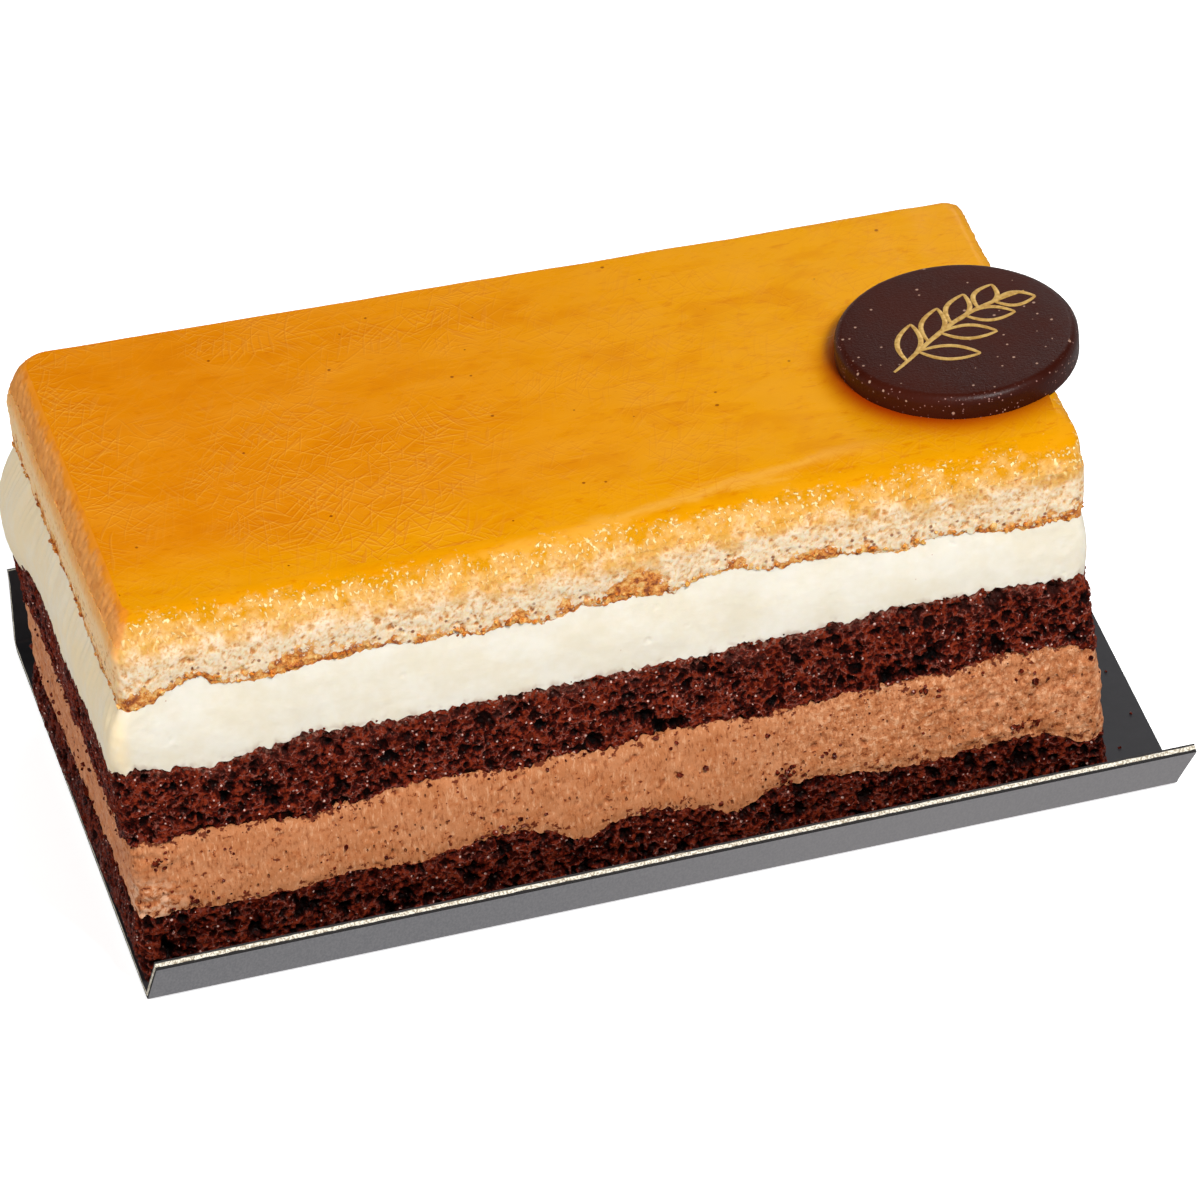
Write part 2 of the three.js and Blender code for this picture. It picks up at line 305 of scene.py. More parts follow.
def newGroup(name, inputs, outputs):
    group = bpy.data.node_groups.new(name, "ShaderNodeTree")
    group.interface.new_socket("Vector", in_out="INPUT", socket_type="NodeSocketVector")
    for key, value in inputs.items():
        socket = group.interface.new_socket(key, in_out="INPUT", socket_type="NodeSocketFloat")
        socket.default_value = value
    for key, kind in outputs.items():
        group.interface.new_socket(key, in_out="OUTPUT", socket_type=kind)
    return group, put(group, "NodeGroupInput").outputs, put(group, "NodeGroupOutput")


def useGroup(group, inputs):
    return put(treeOf(*inputs.values()), "ShaderNodeGroup", inputs, node_tree=group).outputs


def newMaterial(name, settings):
    material = bpy.data.materials.new(name)
    material.use_nodes = True
    return finished(material, settings), material.node_tree


def finished(material, inputs):
    fill(material.node_tree.nodes["Principled BSDF"], inputs)
    return material


def makeSpecksGroup():
    # sparse dots: Share is the part of the cells that hold one, Size its radius in cells
    group, given, result = newGroup("specks", {"Scale": 1.0, "Share": 0.1, "Size": 0.3},
                                    {"Mask": "NodeSocketFloat"})
    cells = put(group, "ShaderNodeTexVoronoi", {"Vector": given["Vector"], "Scale": given["Scale"]}).outputs
    chance = put(group, "ShaderNodeSeparateColor", {0: cells["Color"]}).outputs
    outer = times(given["Size"], remap(chance[1], 0.0, 1.0, 0.5, 1.2))
    dot = remap(cells["Distance"], times(outer, 0.5), outer, 1.0, 0.0)
    fill(result, {"Mask": times(math2("LESS_THAN", chance[0], given["Share"]), dot)})
    return group


def makeMottleGroup():
    # slow and fine unevenness together, about 0.5 on average
    group, given, result = newGroup("mottle", {"Scale": 1.0, "Fine": 0.3}, {"Value": "NodeSocketFloat"})
    slow = noiseValue(given["Vector"], given["Scale"], 3.0)
    quick = noiseValue(given["Vector"], times(given["Scale"], 7.0))
    both = put(group, "ShaderNodeMix", {0: given["Fine"], 2: slow, 3: quick}, data_type="FLOAT").outputs[0]
    fill(result, {"Value": remap(both, 0.3, 0.7)})
    return group


specks = makeSpecksGroup()
mottle = makeMottleGroup()


def dots(vector, scale, share, size):
    return useGroup(specks, {"Vector": vector, "Scale": scale, "Share": share, "Size": size})["Mask"]


def mottled(vector, scale, fine):
    return useGroup(mottle, {"Vector": vector, "Scale": scale, "Fine": fine})["Value"]


soakColours = {
    "sponge": [(0.0, rgb(249, 230, 201)), (0.3, rgb(244, 216, 176)), (0.6, rgb(232, 188, 136)),
               (0.95, rgb(204, 134, 76))],
    "syrup": rgb(230, 180, 92), "golden": rgb(215, 144, 0), "wetHighlight": rgb(255, 234, 172),
    "rust": rgb(206, 132, 74),
}


def makeSoakGroup():
    # Pale crumb that soaks up the jelly from above. Rise is the height in millimetres over the seam
    # between sponge and jelly, so that both finishes change into each other without an edge.
    group, given, result = newGroup(
        "soakedCrumb", {"Rise": 0.0, "Depth": 0.0},
        {"Color": "NodeSocketColor", "Wet": "NodeSocketFloat", "Height": "NodeSocketFloat"})
    at = given["Vector"]
    fine = noiseValue(at, 2.6, 2.0, 0.6)
    depth = plus(given["Depth"], remap(fine, 0.3, 0.7, -0.12, 0.34))
    uneven = noiseValue(at, 0.45, 3.0, 0.6)
    shifted = plus(given["Rise"], remap(uneven, 0.25, 0.75, -1.5, 1.5))
    # the crumb's own pale colour, darker with the depth of its pores: painted shade in the pores
    color = ramp(depth, soakColours["sponge"])
    lifted = blendColor(0.55, blendColor(1.0, color, soakColours["syrup"], "MULTIPLY"), soakColours["syrup"])
    color = blendColor(remap(shifted, -2.6, 0.6, 0.0, 0.95), color, lifted)
    rust = times(remap(fine, 0.56, 0.66), remap(shifted, -3.5, -1.0), remap(shifted, 1.2, 0.0))
    # short wet ridges in clusters, bumped and painted pale as highlights where they would catch the light
    strokes = noiseValue(stretch(at, 1.1, 1.1, 0.42), 2.4, 1.0, 0.4, 0.35)
    band = times(remap(shifted, -1.0, 0.8), remap(shifted, 3.4, 2.2))
    ridge = remap(strokes, 0.57, 0.69)
    color = paint(color, soakColours, ("rust", times(rust, 0.4)), ("golden", remap(shifted, 0.4, 2.2)),
                  ("wetHighlight", times(ridge, remap(uneven, 0.7, 0.4, 0.35, 1.0), band)))
    height = minus(times(ridge, band, 0.5), times(depth, 0.8))
    fill(result, {"Color": color, "Wet": remap(shifted, -2.0, 1.0), "Height": height})
    return group


soakedCrumb = makeSoakGroup()


def widthAt(x):
    return mix(cake["widthLeft"], cake["widthRight"], x / cake["length"] + 0.5)


def bumpsAt(bumps, x):
    return sum(rise * hill(x - at, half) for at, half, rise in bumps)


def seamHeight(seam, x, y):
    backFace, turn = cake["backFace"], cake["waveTurn"]
    mirrored = backFace["rise"] * bumpsAt(seam["bumps"], backFace["shift"] - backFace["stretch"] * x)
    bumps = mix(bumpsAt(seam["bumps"], x), mirrored, smooth(y / widthAt(x)))
    wave = seam["wave"] * math.sin(turn["x"] * x + turn["y"] * y + seam["height"])
    sag = seam.get("sag")
    drop = sag["depth"] * hill(math.hypot(x - sag["x"], y - sag["y"]), sag["spread"]) if sag else 0
    return seam["height"] + seam["tilt"] * x + bumps + wave - drop


def raggedSeam(seam, x, y):
    # crumbs stand up and hang down over a cut line
    spot = Vector((x, y, seam["height"]))
    fine = noise.fractal(spot / 0.9, 0.8, 2.1, 3) + 0.7 * noise.noise(spot / 2.6)
    atLeft = 1 + cake["leftRagged"] * hill(x + cake["length"] / 2, 2.5)
    return seamHeight(seam, x, y) + seam["ragged"] * atLeft * fine


def topHeight(x, y):
    slope = cake["frontSlope"]
    width = mix(slope["widthLeft"], slope["widthRight"], x / cake["length"] + 0.5)
    down = smooth((width - y) / (width - shoulders["front"]["width"] / 2))
    return cake["top"] + cake["topTilt"] * x - slope["drop"] * down


def onShoulder(point):
    halfLength, halfWidth = cake["length"] / 2, widthAt(point.x) / 2
    across = point.y - halfWidth
    top = topHeight(point.x, point.y)

    def moveIn(side):
        shoulder = shoulders[side]
        rise = clamp01((point.z - shoulder["start"]) / (top - shoulder["start"]))
        return shoulder["width"] * (1 - (1 - rise ** shoulder["power"]) ** (1 / shoulder["power"]))

    endMove = moveIn("left" if point.x < 0 else "right")
    sideMove = moveIn("front" if across < 0 else "back")
    return Vector((point.x * (1 - endMove / halfLength),
                   halfWidth + across * (1 - sideMove / halfWidth), point.z))


# The block's corners from above: place, name, where its arc starts, which way its centre lies, and
# whether it follows the reach of left, right, front and back
blockCorners = [
    ((-cake["length"] / 2, 0), "frontLeft", 180, (1, 1), (1, 0, 1, 0)),
    ((cake["length"] / 2, 0), "frontRight", 270, (-1, 1), (0, 1, 1, 0)),
    ((cake["length"] / 2, cake["widthRight"]), "backRight", 0, (-1, -1), (0, 1, 0, 1)),
    ((-cake["length"] / 2 - cake["leftSkew"], cake["widthLeft"]), "backLeft", 90, (1, -1), (1, 0, 0, 1)),
]


def onArc(index, degrees):
    (x, y), name, start, towards, sides = blockCorners[index % 4]
    radius = cornerRound[name]
    angle = math.radians(start + degrees)
    facing = Vector((math.cos(angle), math.sin(angle)))
    centre = Vector((x + towards[0] * radius, y + towards[1] * radius))
    return centre + radius * facing, Vector(sides), facing


# One side of the block seen from above, from the middle of one corner to the middle of the next. Each
# entry is a point with no reach, how much it follows each side's reach, and the way it faces.
def blockSide(index, steps):
    firstArc, lastArc = (cornerRound[blockCorners[k % 4][1]] * math.pi / 4 for k in (index, index + 1))
    startPoint, startSides, _ = onArc(index, 90)
    endPoint, endSides, _ = onArc(index + 1, 0)
    along = endPoint - startPoint
    total = firstArc + along.length + lastArc
    entries = []
    for k in range(steps + 1):
        done = total * k / steps
        if done < firstArc:
            entries.append(onArc(index, 45 + 45 * done / firstArc))
        elif done <= firstArc + along.length:
            t = (done - firstArc) / along.length
            facing = Vector((along.y, -along.x)).normalized()
            entries.append((startPoint + along * t, startSides.lerp(endSides, t), facing))
        else:
            entries.append(onArc(index + 1, 45 * (done - firstArc - along.length) / lastArc))
    return entries


def reached(entry, reach):
    point, sides, _ = entry
    return Vector((point.x + reach["right"] * sides[1] - reach["left"] * sides[0],
                   point.y + reach["back"] * sides[3] - reach["front"] * sides[2], 0))


def blockLoop(cell):
    lengths = [cake["length"], cake["widthRight"], cake["length"], cake["widthLeft"]]
    loop = []
    for index, length in enumerate(lengths):
        loop += blockSide(index, round(length / cell))[:-1]
    return loop


# Scattered pores: the nearest one's centre and radius for any point of a wall
def scatterPores(layer, seed):
    chance = random.Random(seed)
    loop = blockLoop(1.0)
    floor, top = seams[layer["floor"]], seams[layer["top"]]
    pores = layer["pores"]
    radii = []
    tree = kdtree.KDTree(pores["count"])
    for k in range(pores["count"]):
        spot = reached(chance.choice(loop), floor["reach"])
        spot += Vector((chance.uniform(-0.5, 0.5), chance.uniform(-0.5, 0.5), 0))
        level = mix(*pores["between"], chance.random())
        spot.z = mix(seamHeight(floor, spot.x, spot.y), seamHeight(top, spot.x, spot.y), level)
        radii.append(mix(*pores["radius"], chance.random() ** 2))
        tree.insert(spot, k)
    tree.balance()
    return tree, radii


def poreAt(pores, spot):
    # how deep the nearest pore is here, from 0 to 1, and its radius
    tree, radii = pores
    _, index, distance = tree.find(spot)
    return math.sqrt(max(0.0, 1 - (distance / radii[index]) ** 2)), radii[index]


def frothDepth(point, cell):
    # how deep a cut bubble lies open at this point, from 0 on a wall between bubbles to 1
    warped = point + noise.noise_vector(point / (1.2 * cell)) * 0.4 * cell
    total = 0.0
    for size, share in ((cell, 0.62), (0.52 * cell, 0.38)):
        distances, cells = noise.voronoi(warped / size)
        inside = smooth((distances[1] - distances[0] - 0.05) / 0.4)
        total += share * inside * clamp01(0.55 + 1.5 * noise.noise(cells[0] * 5.3))
    return total


# the relief of each kind of filling: how far it stands out, and how deep it lies in a pore
def crumbRelief(layer, point, level, pores):
    crumb = layer["crumb"]
    total = frothDepth(point, crumb["cell"])
    hole, radius = poreAt(pores, point + noise.noise_vector(point * 1.5) * 0.6)
    lumps = crumb["lumps"] * (noise.noise(point / 3.3) + 0.7 * noise.noise(point / 1.4))
    edge = crumb["edgeIn"] * (hill(level, 0.1) + hill(1 - level, 0.1))
    grain = crumb["grain"] * noise.noise(point / 0.33)
    out = crumb["out"] + lumps + grain - crumb["depth"] * total - 0.8 * hole * radius - edge
    return out, clamp01(total + 0.7 * hole)


def creamRelief(layer, point, level, pores):
    cream = layer["cream"]
    drag = Vector((point.x / cream["dragWidth"], point.y / cream["dragWidth"], point.z / cream["dragLength"]))
    out = cream["drag"] * (noise.noise(drag) + 0.7 * noise.noise(drag * 2.3))
    out += cream["swell"] * noise.noise(point / 7.0)
    out += cream["edgeOut"] * (hill(level, 0.07) + hill(1 - level, 0.07))
    rough = cream["rough"]
    share = smooth((point.x - rough["from"]) / (rough["to"] - rough["from"]))
    share = max(share, hill(point.x - rough["alsoAt"], 4))
    torn = 0.6 * noise.noise(point / 2.1) + 0.7 * noise.noise(point / 0.95) + 0.6 * noise.noise(point / 0.5)
    out += rough["depth"] * share * torn
    hole, radius = poreAt(pores, point + noise.noise_vector(point * 1.7) * 0.3)
    return out - 0.8 * hole * radius, clamp01(hole - 0.6 * share * min(0.0, torn))


layers = {
    "base_sponge": {
        "floor": "foot", "top": "mousseFloor", "slot": "cocoa_sponge", "cell": 0.18, "relief": crumbRelief,
        "bulge": {"left": 0.5, "right": 0.2, "front": 0.0, "back": 0.2},
        "crumb": {"cell": 1.25, "depth": 0.8, "lumps": 0.25, "grain": 0.1, "edgeIn": 0.1, "out": 0.15},
        "pores": {"count": 260, "between": (0.05, 0.95), "radius": (0.42, 1.1)}},
    "chocolate_mousse": {
        "floor": "mousseFloor", "top": "mousseTop", "slot": "chocolate_mousse", "cell": 0.25,
        "relief": creamRelief, "bulge": {"left": -0.2, "right": 0.1, "front": 0.1, "back": 0.1},
        "cream": {"drag": 0.09, "dragWidth": 0.6, "dragLength": 2.4, "swell": 0.12, "edgeOut": -0.12,
                  "rough": {"from": 20, "to": 44, "depth": 0.26, "alsoAt": -51}},
        "pores": {"count": 1300, "between": (0.03, 0.97), "radius": (0.13, 0.4)}},
    "middle_sponge": {
        "floor": "mousseTop", "top": "creamFloor", "slot": "cocoa_sponge", "cell": 0.18,
        "relief": crumbRelief, "bulge": {"left": 0.0, "right": 0.1, "front": -0.1, "back": 0.0},
        "crumb": {"cell": 1.25, "depth": 0.8, "lumps": 0.25, "grain": 0.1, "edgeIn": 0.1, "out": 0.15},
        "pores": {"count": 280, "between": (0.05, 0.95), "radius": (0.42, 1.15)}},
    "white_cream": {
        "floor": "creamFloor", "top": "creamTop", "slot": "white_cream", "cell": 0.26,
        "relief": creamRelief, "bulge": {"left": 0.7, "right": 0.4, "front": 0.2, "back": 0.5},
        "slump": {"y": 46, "spread": 8, "depth": 1.0, "power": 9},
        "cream": {"drag": 0.035, "dragWidth": 1.6, "dragLength": 2.4, "swell": 0.15, "edgeOut": 0.0,
                  "rough": {"from": 40, "to": 53, "depth": 0.05, "alsoAt": -50}},
        "pores": {"count": 130, "between": (0.08, 0.92), "radius": (0.14, 0.3)}},
    "vanilla_sponge": {
        "floor": "creamTop", "top": "jellyFloor", "slot": "vanilla_sponge", "cell": 0.2,
        "relief": crumbRelief, "bulge": {"left": 0.0, "right": 0.1, "front": 0.1, "back": 0.1},
        "crumb": {"cell": 0.8, "depth": 0.18, "lumps": 0.08, "grain": 0.04, "edgeIn": 0.02, "out": 0.06},
        "pores": {"count": 620, "between": (0.0, 0.45), "radius": (0.16, 0.42)}},
}


def foldIn(bm, drop):
    # the rims of a wall turn in as a ledge, drop saying how far each goes down, and the rest is closed
    rims = [e for e in bm.edges if e.is_boundary]
    for edge in rims:
        edge.smooth = False
    ledge = bmesh.ops.extrude_edge_only(bm, edges=rims)["geom"]
    for v in (g for g in ledge if isinstance(g, bmesh.types.BMVert)):
        middle = Vector((v.co.x * 0.6, widthAt(v.co.x) / 2, v.co.z))
        v.co += (middle - v.co).normalized() * cake["ledge"]
        v.co.z -= drop(v)
    bmesh.ops.holes_fill(bm, edges=[e for e in bm.edges if e.is_boundary], sides=0)


def makeLayer(name, seed, material):
    layer = layers[name]
    floor, top = seams[layer["floor"]], seams[layer["top"]]
    loop = blockLoop(layer["cell"])
    rows = round((top["height"] - floor["height"]) / layer["cell"])
    pores = scatterPores(layer, seed)
    columns = []
    for entry in loop:
        low, high = reached(entry, floor["reach"]), reached(entry, top["reach"])
        low.z, high.z = raggedSeam(floor, low.x, low.y), raggedSeam(top, high.x, high.y)
        belly = reached(entry, layer["bulge"]) - entry[0].to_3d()
        slump = layer.get("slump")
        if slump and low.x < 0:
            belly.x -= (slump["depth"] * hill(low.y - slump["y"], slump["spread"])
                        * abs(low.x / (cake["length"] / 2)) ** slump["power"])
        columns.append((low, high, belly, entry[2].to_3d()))
    bm = bmesh.new()
    bmesh.ops.create_grid(bm, x_segments=len(loop), y_segments=rows, size=0.5)
    pit = bm.verts.layers.float.new("pit")
    levelLayer = bm.verts.layers.float.new("level")
    riseLayer = bm.verts.layers.float.new("rise")  # millimetres below the layer's top, as a minus
    leftLayer = bm.verts.layers.float.new("left")  # 1 where the wall faces left
    for v in bm.verts:
        low, high, belly, facing = columns[round((v.co.x + 0.5) * len(loop)) % len(loop)]
        level = v.co.y + 0.5
        v[riseLayer] = (level - 1) * (high.z - low.z)
        v[leftLayer] = clamp01(-facing.x)
        point = low.lerp(high, level) + belly * math.sin(math.pi * level)
        out, v[pit] = layer["relief"](layer, point, level, pores)
        v[levelLayer] = level
        point += facing * out
        v.co = onShoulder(point) if point.z > shoulders["front"]["start"] else point
    bmesh.ops.remove_doubles(bm, verts=[v for v in bm.verts if v.is_boundary], dist=0.001)
    foldIn(bm, lambda v: 0.25 * (v[levelLayer] - 0.5))
    settle(bm)
    piece = newPiece(name + "_cut", bm, [material])
    piece.data.shade_smooth()
    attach(piece, "root")
    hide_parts(name)
    print("made", piece.name, len(piece.data.polygons))
    return piece


cocoaColours = {
    "crumb": [(0.0, rgb(126, 44, 22)), (0.12, rgb(94, 22, 9)), (0.3, rgb(62, 10, 4)),
              (0.52, rgb(28, 3, 1)), (0.8, rgb(4, 1, 1))],
    "soaked": rgb(96, 46, 38), "creamy": rgb(170, 118, 98), "mauveSheen": rgb(198, 122, 104),
    "bubbleShade": rgb(34, 6, 3), "glint": rgb(240, 200, 186), "dark": rgb(18, 4, 2),
}


def makeCocoaMaterial(name, darkness, creamTop):
    material, tree = newMaterial(name, {"Specular IOR Level": 0.05})
    at = objectMillimetres(tree)
    fine = noiseValue(at, 2.8, 2.0, 0.55)
    slow = noiseValue(at, 0.32, 2.0, 0.6)
    # the crumb's own red-brown, darker with depth: painted shade in the pores and bubbles
    depth = plus(attribute(tree, "pit"), remap(fine, 0.3, 0.7, -0.16, 0.28),
                 remap(slow, 0.35, 0.65, -0.05, 0.12))
    color = ramp(depth, cocoaColours["crumb"])
    if creamTop:
        level = attribute(tree, "level")
        soaked = times(remap(level, 0.55, 1.0), remap(slow, 0.46, 0.56), 0.4)
        smear = times(remap(plus(fine, times(level, 0.5)), 0.98, 1.08), remap(level, 0.86, 1.0), 0.5)
        color = paint(color, cocoaColours, ("soaked", soaked), ("creamy", smear))
    # painted sheen: the moist bubble walls are painted pale pinkish-purple where they would shine
    walls = put(tree, "ShaderNodeTexVoronoi", {"Vector": bend(at, 0.9, 2.0, 1.7)[0], "Scale": 0.95},
                feature="DISTANCE_TO_EDGE").outputs["Distance"]
    mauveSheen = times(remap(walls, 0.1, 0.01), remap(depth, 0.5, 0.15), remap(fine, 0.4, 0.57, 0.0, 0.9),
                  remap(slow, 0.4, 0.6, 0.45, 1.2), 0.64)
    glints = times(dots(at, 1.9, 0.32, 0.3), remap(depth, 0.4, 0.1, 0.1, 1.0), 0.88)
    # painted shade inside the bubbles, painted sheen on their walls and painted glints, then the base
    # sponge's darker tone
    color = paint(color, cocoaColours, ("bubbleShade", remap(walls, 0.16, 0.34, 0.0, 0.6)), ("mauveSheen", mauveSheen),
                  ("glint", glints), ("dark", darkness))
    return finished(material, {"Base Color": color, "Roughness": remap(slow, 0.4, 0.65, 0.65, 0.4),
                               "Normal": bump(fine, 0.26)})


mousseColours = {
    "nickShade": rgb(122, 56, 28), "body": rgb(200, 124, 76), "pale": rgb(216, 144, 98),
    "deep": rgb(148, 74, 34), "light": rgb(246, 188, 144), "crumb": rgb(104, 38, 20),
    "rust": rgb(186, 100, 50), "torn": rgb(240, 190, 154), "cornerTear": (-51, 0.5, 11),
}


def makeMousseMaterial():
    material, tree = newMaterial("chocolate_mousse_finish", {"Specular IOR Level": 0.15})
    at = objectMillimetres(tree)
    level = attribute(tree, "level")
    strokes = noiseValue(stretch(at, 1.0, 1.0, 0.3), 3.0, 3.0, 0.62)  # left by the knife
    blotches = noiseValue(at, 1.25, 3.0, 0.6)
    lumpy = remap(axis(at, "X"), blockX + 6, blockX + 28)  # the right end is torn and lumpy
    lumps = noiseValue(at, 1.5, 3.0, 0.7)
    upright = stretch(at, 1.0, 1.0, 0.5)
    nicks = dots(upright, 1.5, 0.22, 0.28)
    # cocoa crumbs pressed in, mostly beside the sponges
    edge = plus(remap(level, 0.22, 0.0), remap(level, 0.8, 1.0))
    crumbs = remap(plus(blotches, times(edge, 0.1)), 0.655, 0.69)
    corner = place(Vector(mousseColours["cornerTear"])) / mm
    away = vectorMath("DISTANCE", {0: at, 1: corner})["Value"]
    color = blendColor(mottled(at, 0.25, 0.35), mousseColours["body"], mousseColours["pale"])
    color = paint(
        color, mousseColours,
        ("rust", remap(blotches, 0.5, 0.66, 0.0, 0.55)),
        ("deep", remap(strokes, 0.54, 0.68, 0.0, 0.6)),
        ("light", remap(strokes, 0.44, 0.33, 0.0, 0.5)),
        # on the lumpy right end: painted shade in the low places and painted highlights on the lumps
        ("deep", times(remap(lumps, 0.47, 0.36, 0.0, 0.75), lumpy)),
        ("light", times(remap(lumps, 0.55, 0.66, 0.0, 0.7), lumpy)),
        # painted shade in the small dents
        ("nickShade", times(nicks, 0.8)),
        # painted highlights: small bright dots
        ("light", times(dots(upright, 1.9, 0.12, 0.22), 0.75)),
        # painted shade in the pores
        ("deep", times(attribute(tree, "pit"), 0.8)),
        ("crumb", times(crumbs, 0.9)),
        ("torn", times(remap(away, 5.0, 2.0), remap(blotches, 0.55, 0.45), 0.7)))
    height = plus(minus(times(strokes, 0.6), nicks), times(lumps, times(lumpy, 0.8)))
    return finished(material, {"Base Color": color, "Roughness": remap(blotches, 0.3, 0.7, 0.4, 0.6),
                               "Normal": bump(height, 0.2)})


creamColours = {"body": rgb(251, 244, 229), "shade": rgb(239, 227, 199), "speck": rgb(190, 120, 76),
                "crumby": rgb(190, 160, 138), "leftEnd": rgb(252, 230, 190)}


def makeCreamMaterial():
    material, tree = newMaterial("white_cream_finish", {
        "Specular IOR Level": 0.25, "Subsurface Weight": 0.12, "Subsurface Radius": (1.0, 0.8, 0.5),
        "Subsurface Scale": 0.0012})
    at = objectMillimetres(tree)
    uneven = mottled(at, 0.16, 0.25)
    edge = times(remap(attribute(tree, "level"), 0.12, 0.0), remap(noiseValue(at, 0.6), 0.45, 0.62), 0.5)
    atEnd = times(remap(axis(at, "X"), blockX - 50.6, blockX - 52.2), remap(uneven, 0.0, 1.0, 0.55, 1.0))
    color = blendColor(times(uneven, 0.7), creamColours["body"], creamColours["shade"])
    color = paint(color, creamColours, ("crumby", edge), ("speck", times(dots(at, 0.5, 0.1, 0.1), 0.6)),
                  ("leftEnd", atEnd))
    smears = noiseValue(stretch(at, 0.5, 0.5, 1.1), 1.0, 4.0, 0.6)
    return finished(material, {"Base Color": color, "Roughness": remap(uneven, 0.0, 1.0, 0.36, 0.5),
                               "Normal": bump(smears, 0.12, 0.35)})


vanillaColours = {
    "hole": rgb(128, 56, 16), "leftLow": rgb(250, 206, 150), "leftPit": rgb(206, 132, 74),
    "leftTop": rgb(250, 172, 88),
    "crust": [(0.36, rgb(242, 192, 118)), (0.44, rgb(228, 152, 68)), (0.52, rgb(206, 116, 36)),
              (0.6, rgb(142, 60, 14))],
    # where the crust reaches higher: x, half width, share of the layer
    "crustPatches": [(3.5, 5, 0.34), (-48.5, 4, 0.2), (-31, 7, 0.12), (47, 4, 0.14)],
}


def makeVanillaMaterial():
    material, tree = newMaterial("vanilla_sponge_finish", {
        "Specular IOR Level": 0.15, "Subsurface Weight": 0.3, "Subsurface Radius": (1.0, 0.55, 0.25),
        "Subsurface Scale": 0.0008})
    at = objectMillimetres(tree)
    level, pit, rise, left = (attribute(tree, name) for name in ("level", "pit", "rise", "left"))
    soak = useGroup(soakedCrumb, {"Vector": at, "Rise": rise, "Depth": pit})
    # the soaked tan of the left face, with painted shade in its pores
    tan = blendColor(remap(pit, 0.1, 0.9), vanillaColours["leftLow"], vanillaColours["leftPit"])
    tan = blendColor(remap(rise, -2.2, 0.0), tan, vanillaColours["leftTop"])
    color = blendColor(remap(left, 0.5, 0.85, 0.0, 0.85), soak["Color"], tan)
    # painted shade: small dark holes low in the layer
    holes = times(dots(at, 1.4, 0.4, 0.4), remap(level, 0.62, 0.3), 0.85)
    color = blendColor(holes, color, vanillaColours["hole"])
    # the baked crust along the bottom, thicker in patches
    grain = noiseValue(at, 1.4, 3.0, 0.66)
    reachUp = remap(noiseValue(at, 0.26, 2.0, 0.6), 0.36, 0.68, 0.02, 0.34)
    x = axis(at, "X")
    for spot, half, height in vanillaColours["crustPatches"]:
        away = math2("ABSOLUTE", minus(x, blockX + spot))
        reachUp = plus(reachUp, remap(away, half, 0.0, 0.0, height))
    above = minus(plus(level, times(minus(grain, 0.5), 0.8)), reachUp)
    color = blendColor(times(remap(above, 0.03, -0.04), 0.94), color, ramp(grain, vanillaColours["crust"]))
    return finished(material, {"Base Color": color, "Roughness": remap(soak["Wet"], 0.2, 1.0, 0.65, 0.3),
                               "Normal": bump(soak["Height"], 0.05, 0.6)})


jelly = {
    "cell": 0.28,
    "sideRings": 17,
    "roundRings": 12,  # rings over which the rounded outline turns into the inner grid
    "wave": 0.07,
    "wet": 0.13,  # bumps of the soaked band along the front
    "wetSize": Vector((0.55, 0.55, 1.0)),
    "froth": 0.22,
    "meniscus": {"rise": 0.75, "width": 1.1, "towards": 215},
    "shader": {"IOR": 1.4, "Specular IOR Level": 0.08, "Coat Roughness": 0.12},
    "coat": 0.05,
    "creases": {"length": 5.5, "width": 0.36, "turns": (-38, 8, 40, 72, 118)},
    "highlightStreak": {"at": 3.3, "slant": 0.118, "half": 1.5, "share": 0.36, "from": -30, "to": 36},
}


def jellyRelief(point, side, depth):
    wide = jelly["wave"] * (noise.noise(point / 9.0) + 0.5 * noise.noise(point / 3.0))
    worms = Vector(point[k] / jelly["wetSize"][k] for k in range(3))
    band = smooth((side - 0.03) / 0.2)
    wet = jelly["wet"] * (noise.noise(worms) + 0.6 * noise.noise(worms * 1.9))
    return wide + band * (wet - jelly["froth"] * depth * smooth((side - 0.3) / 0.5))


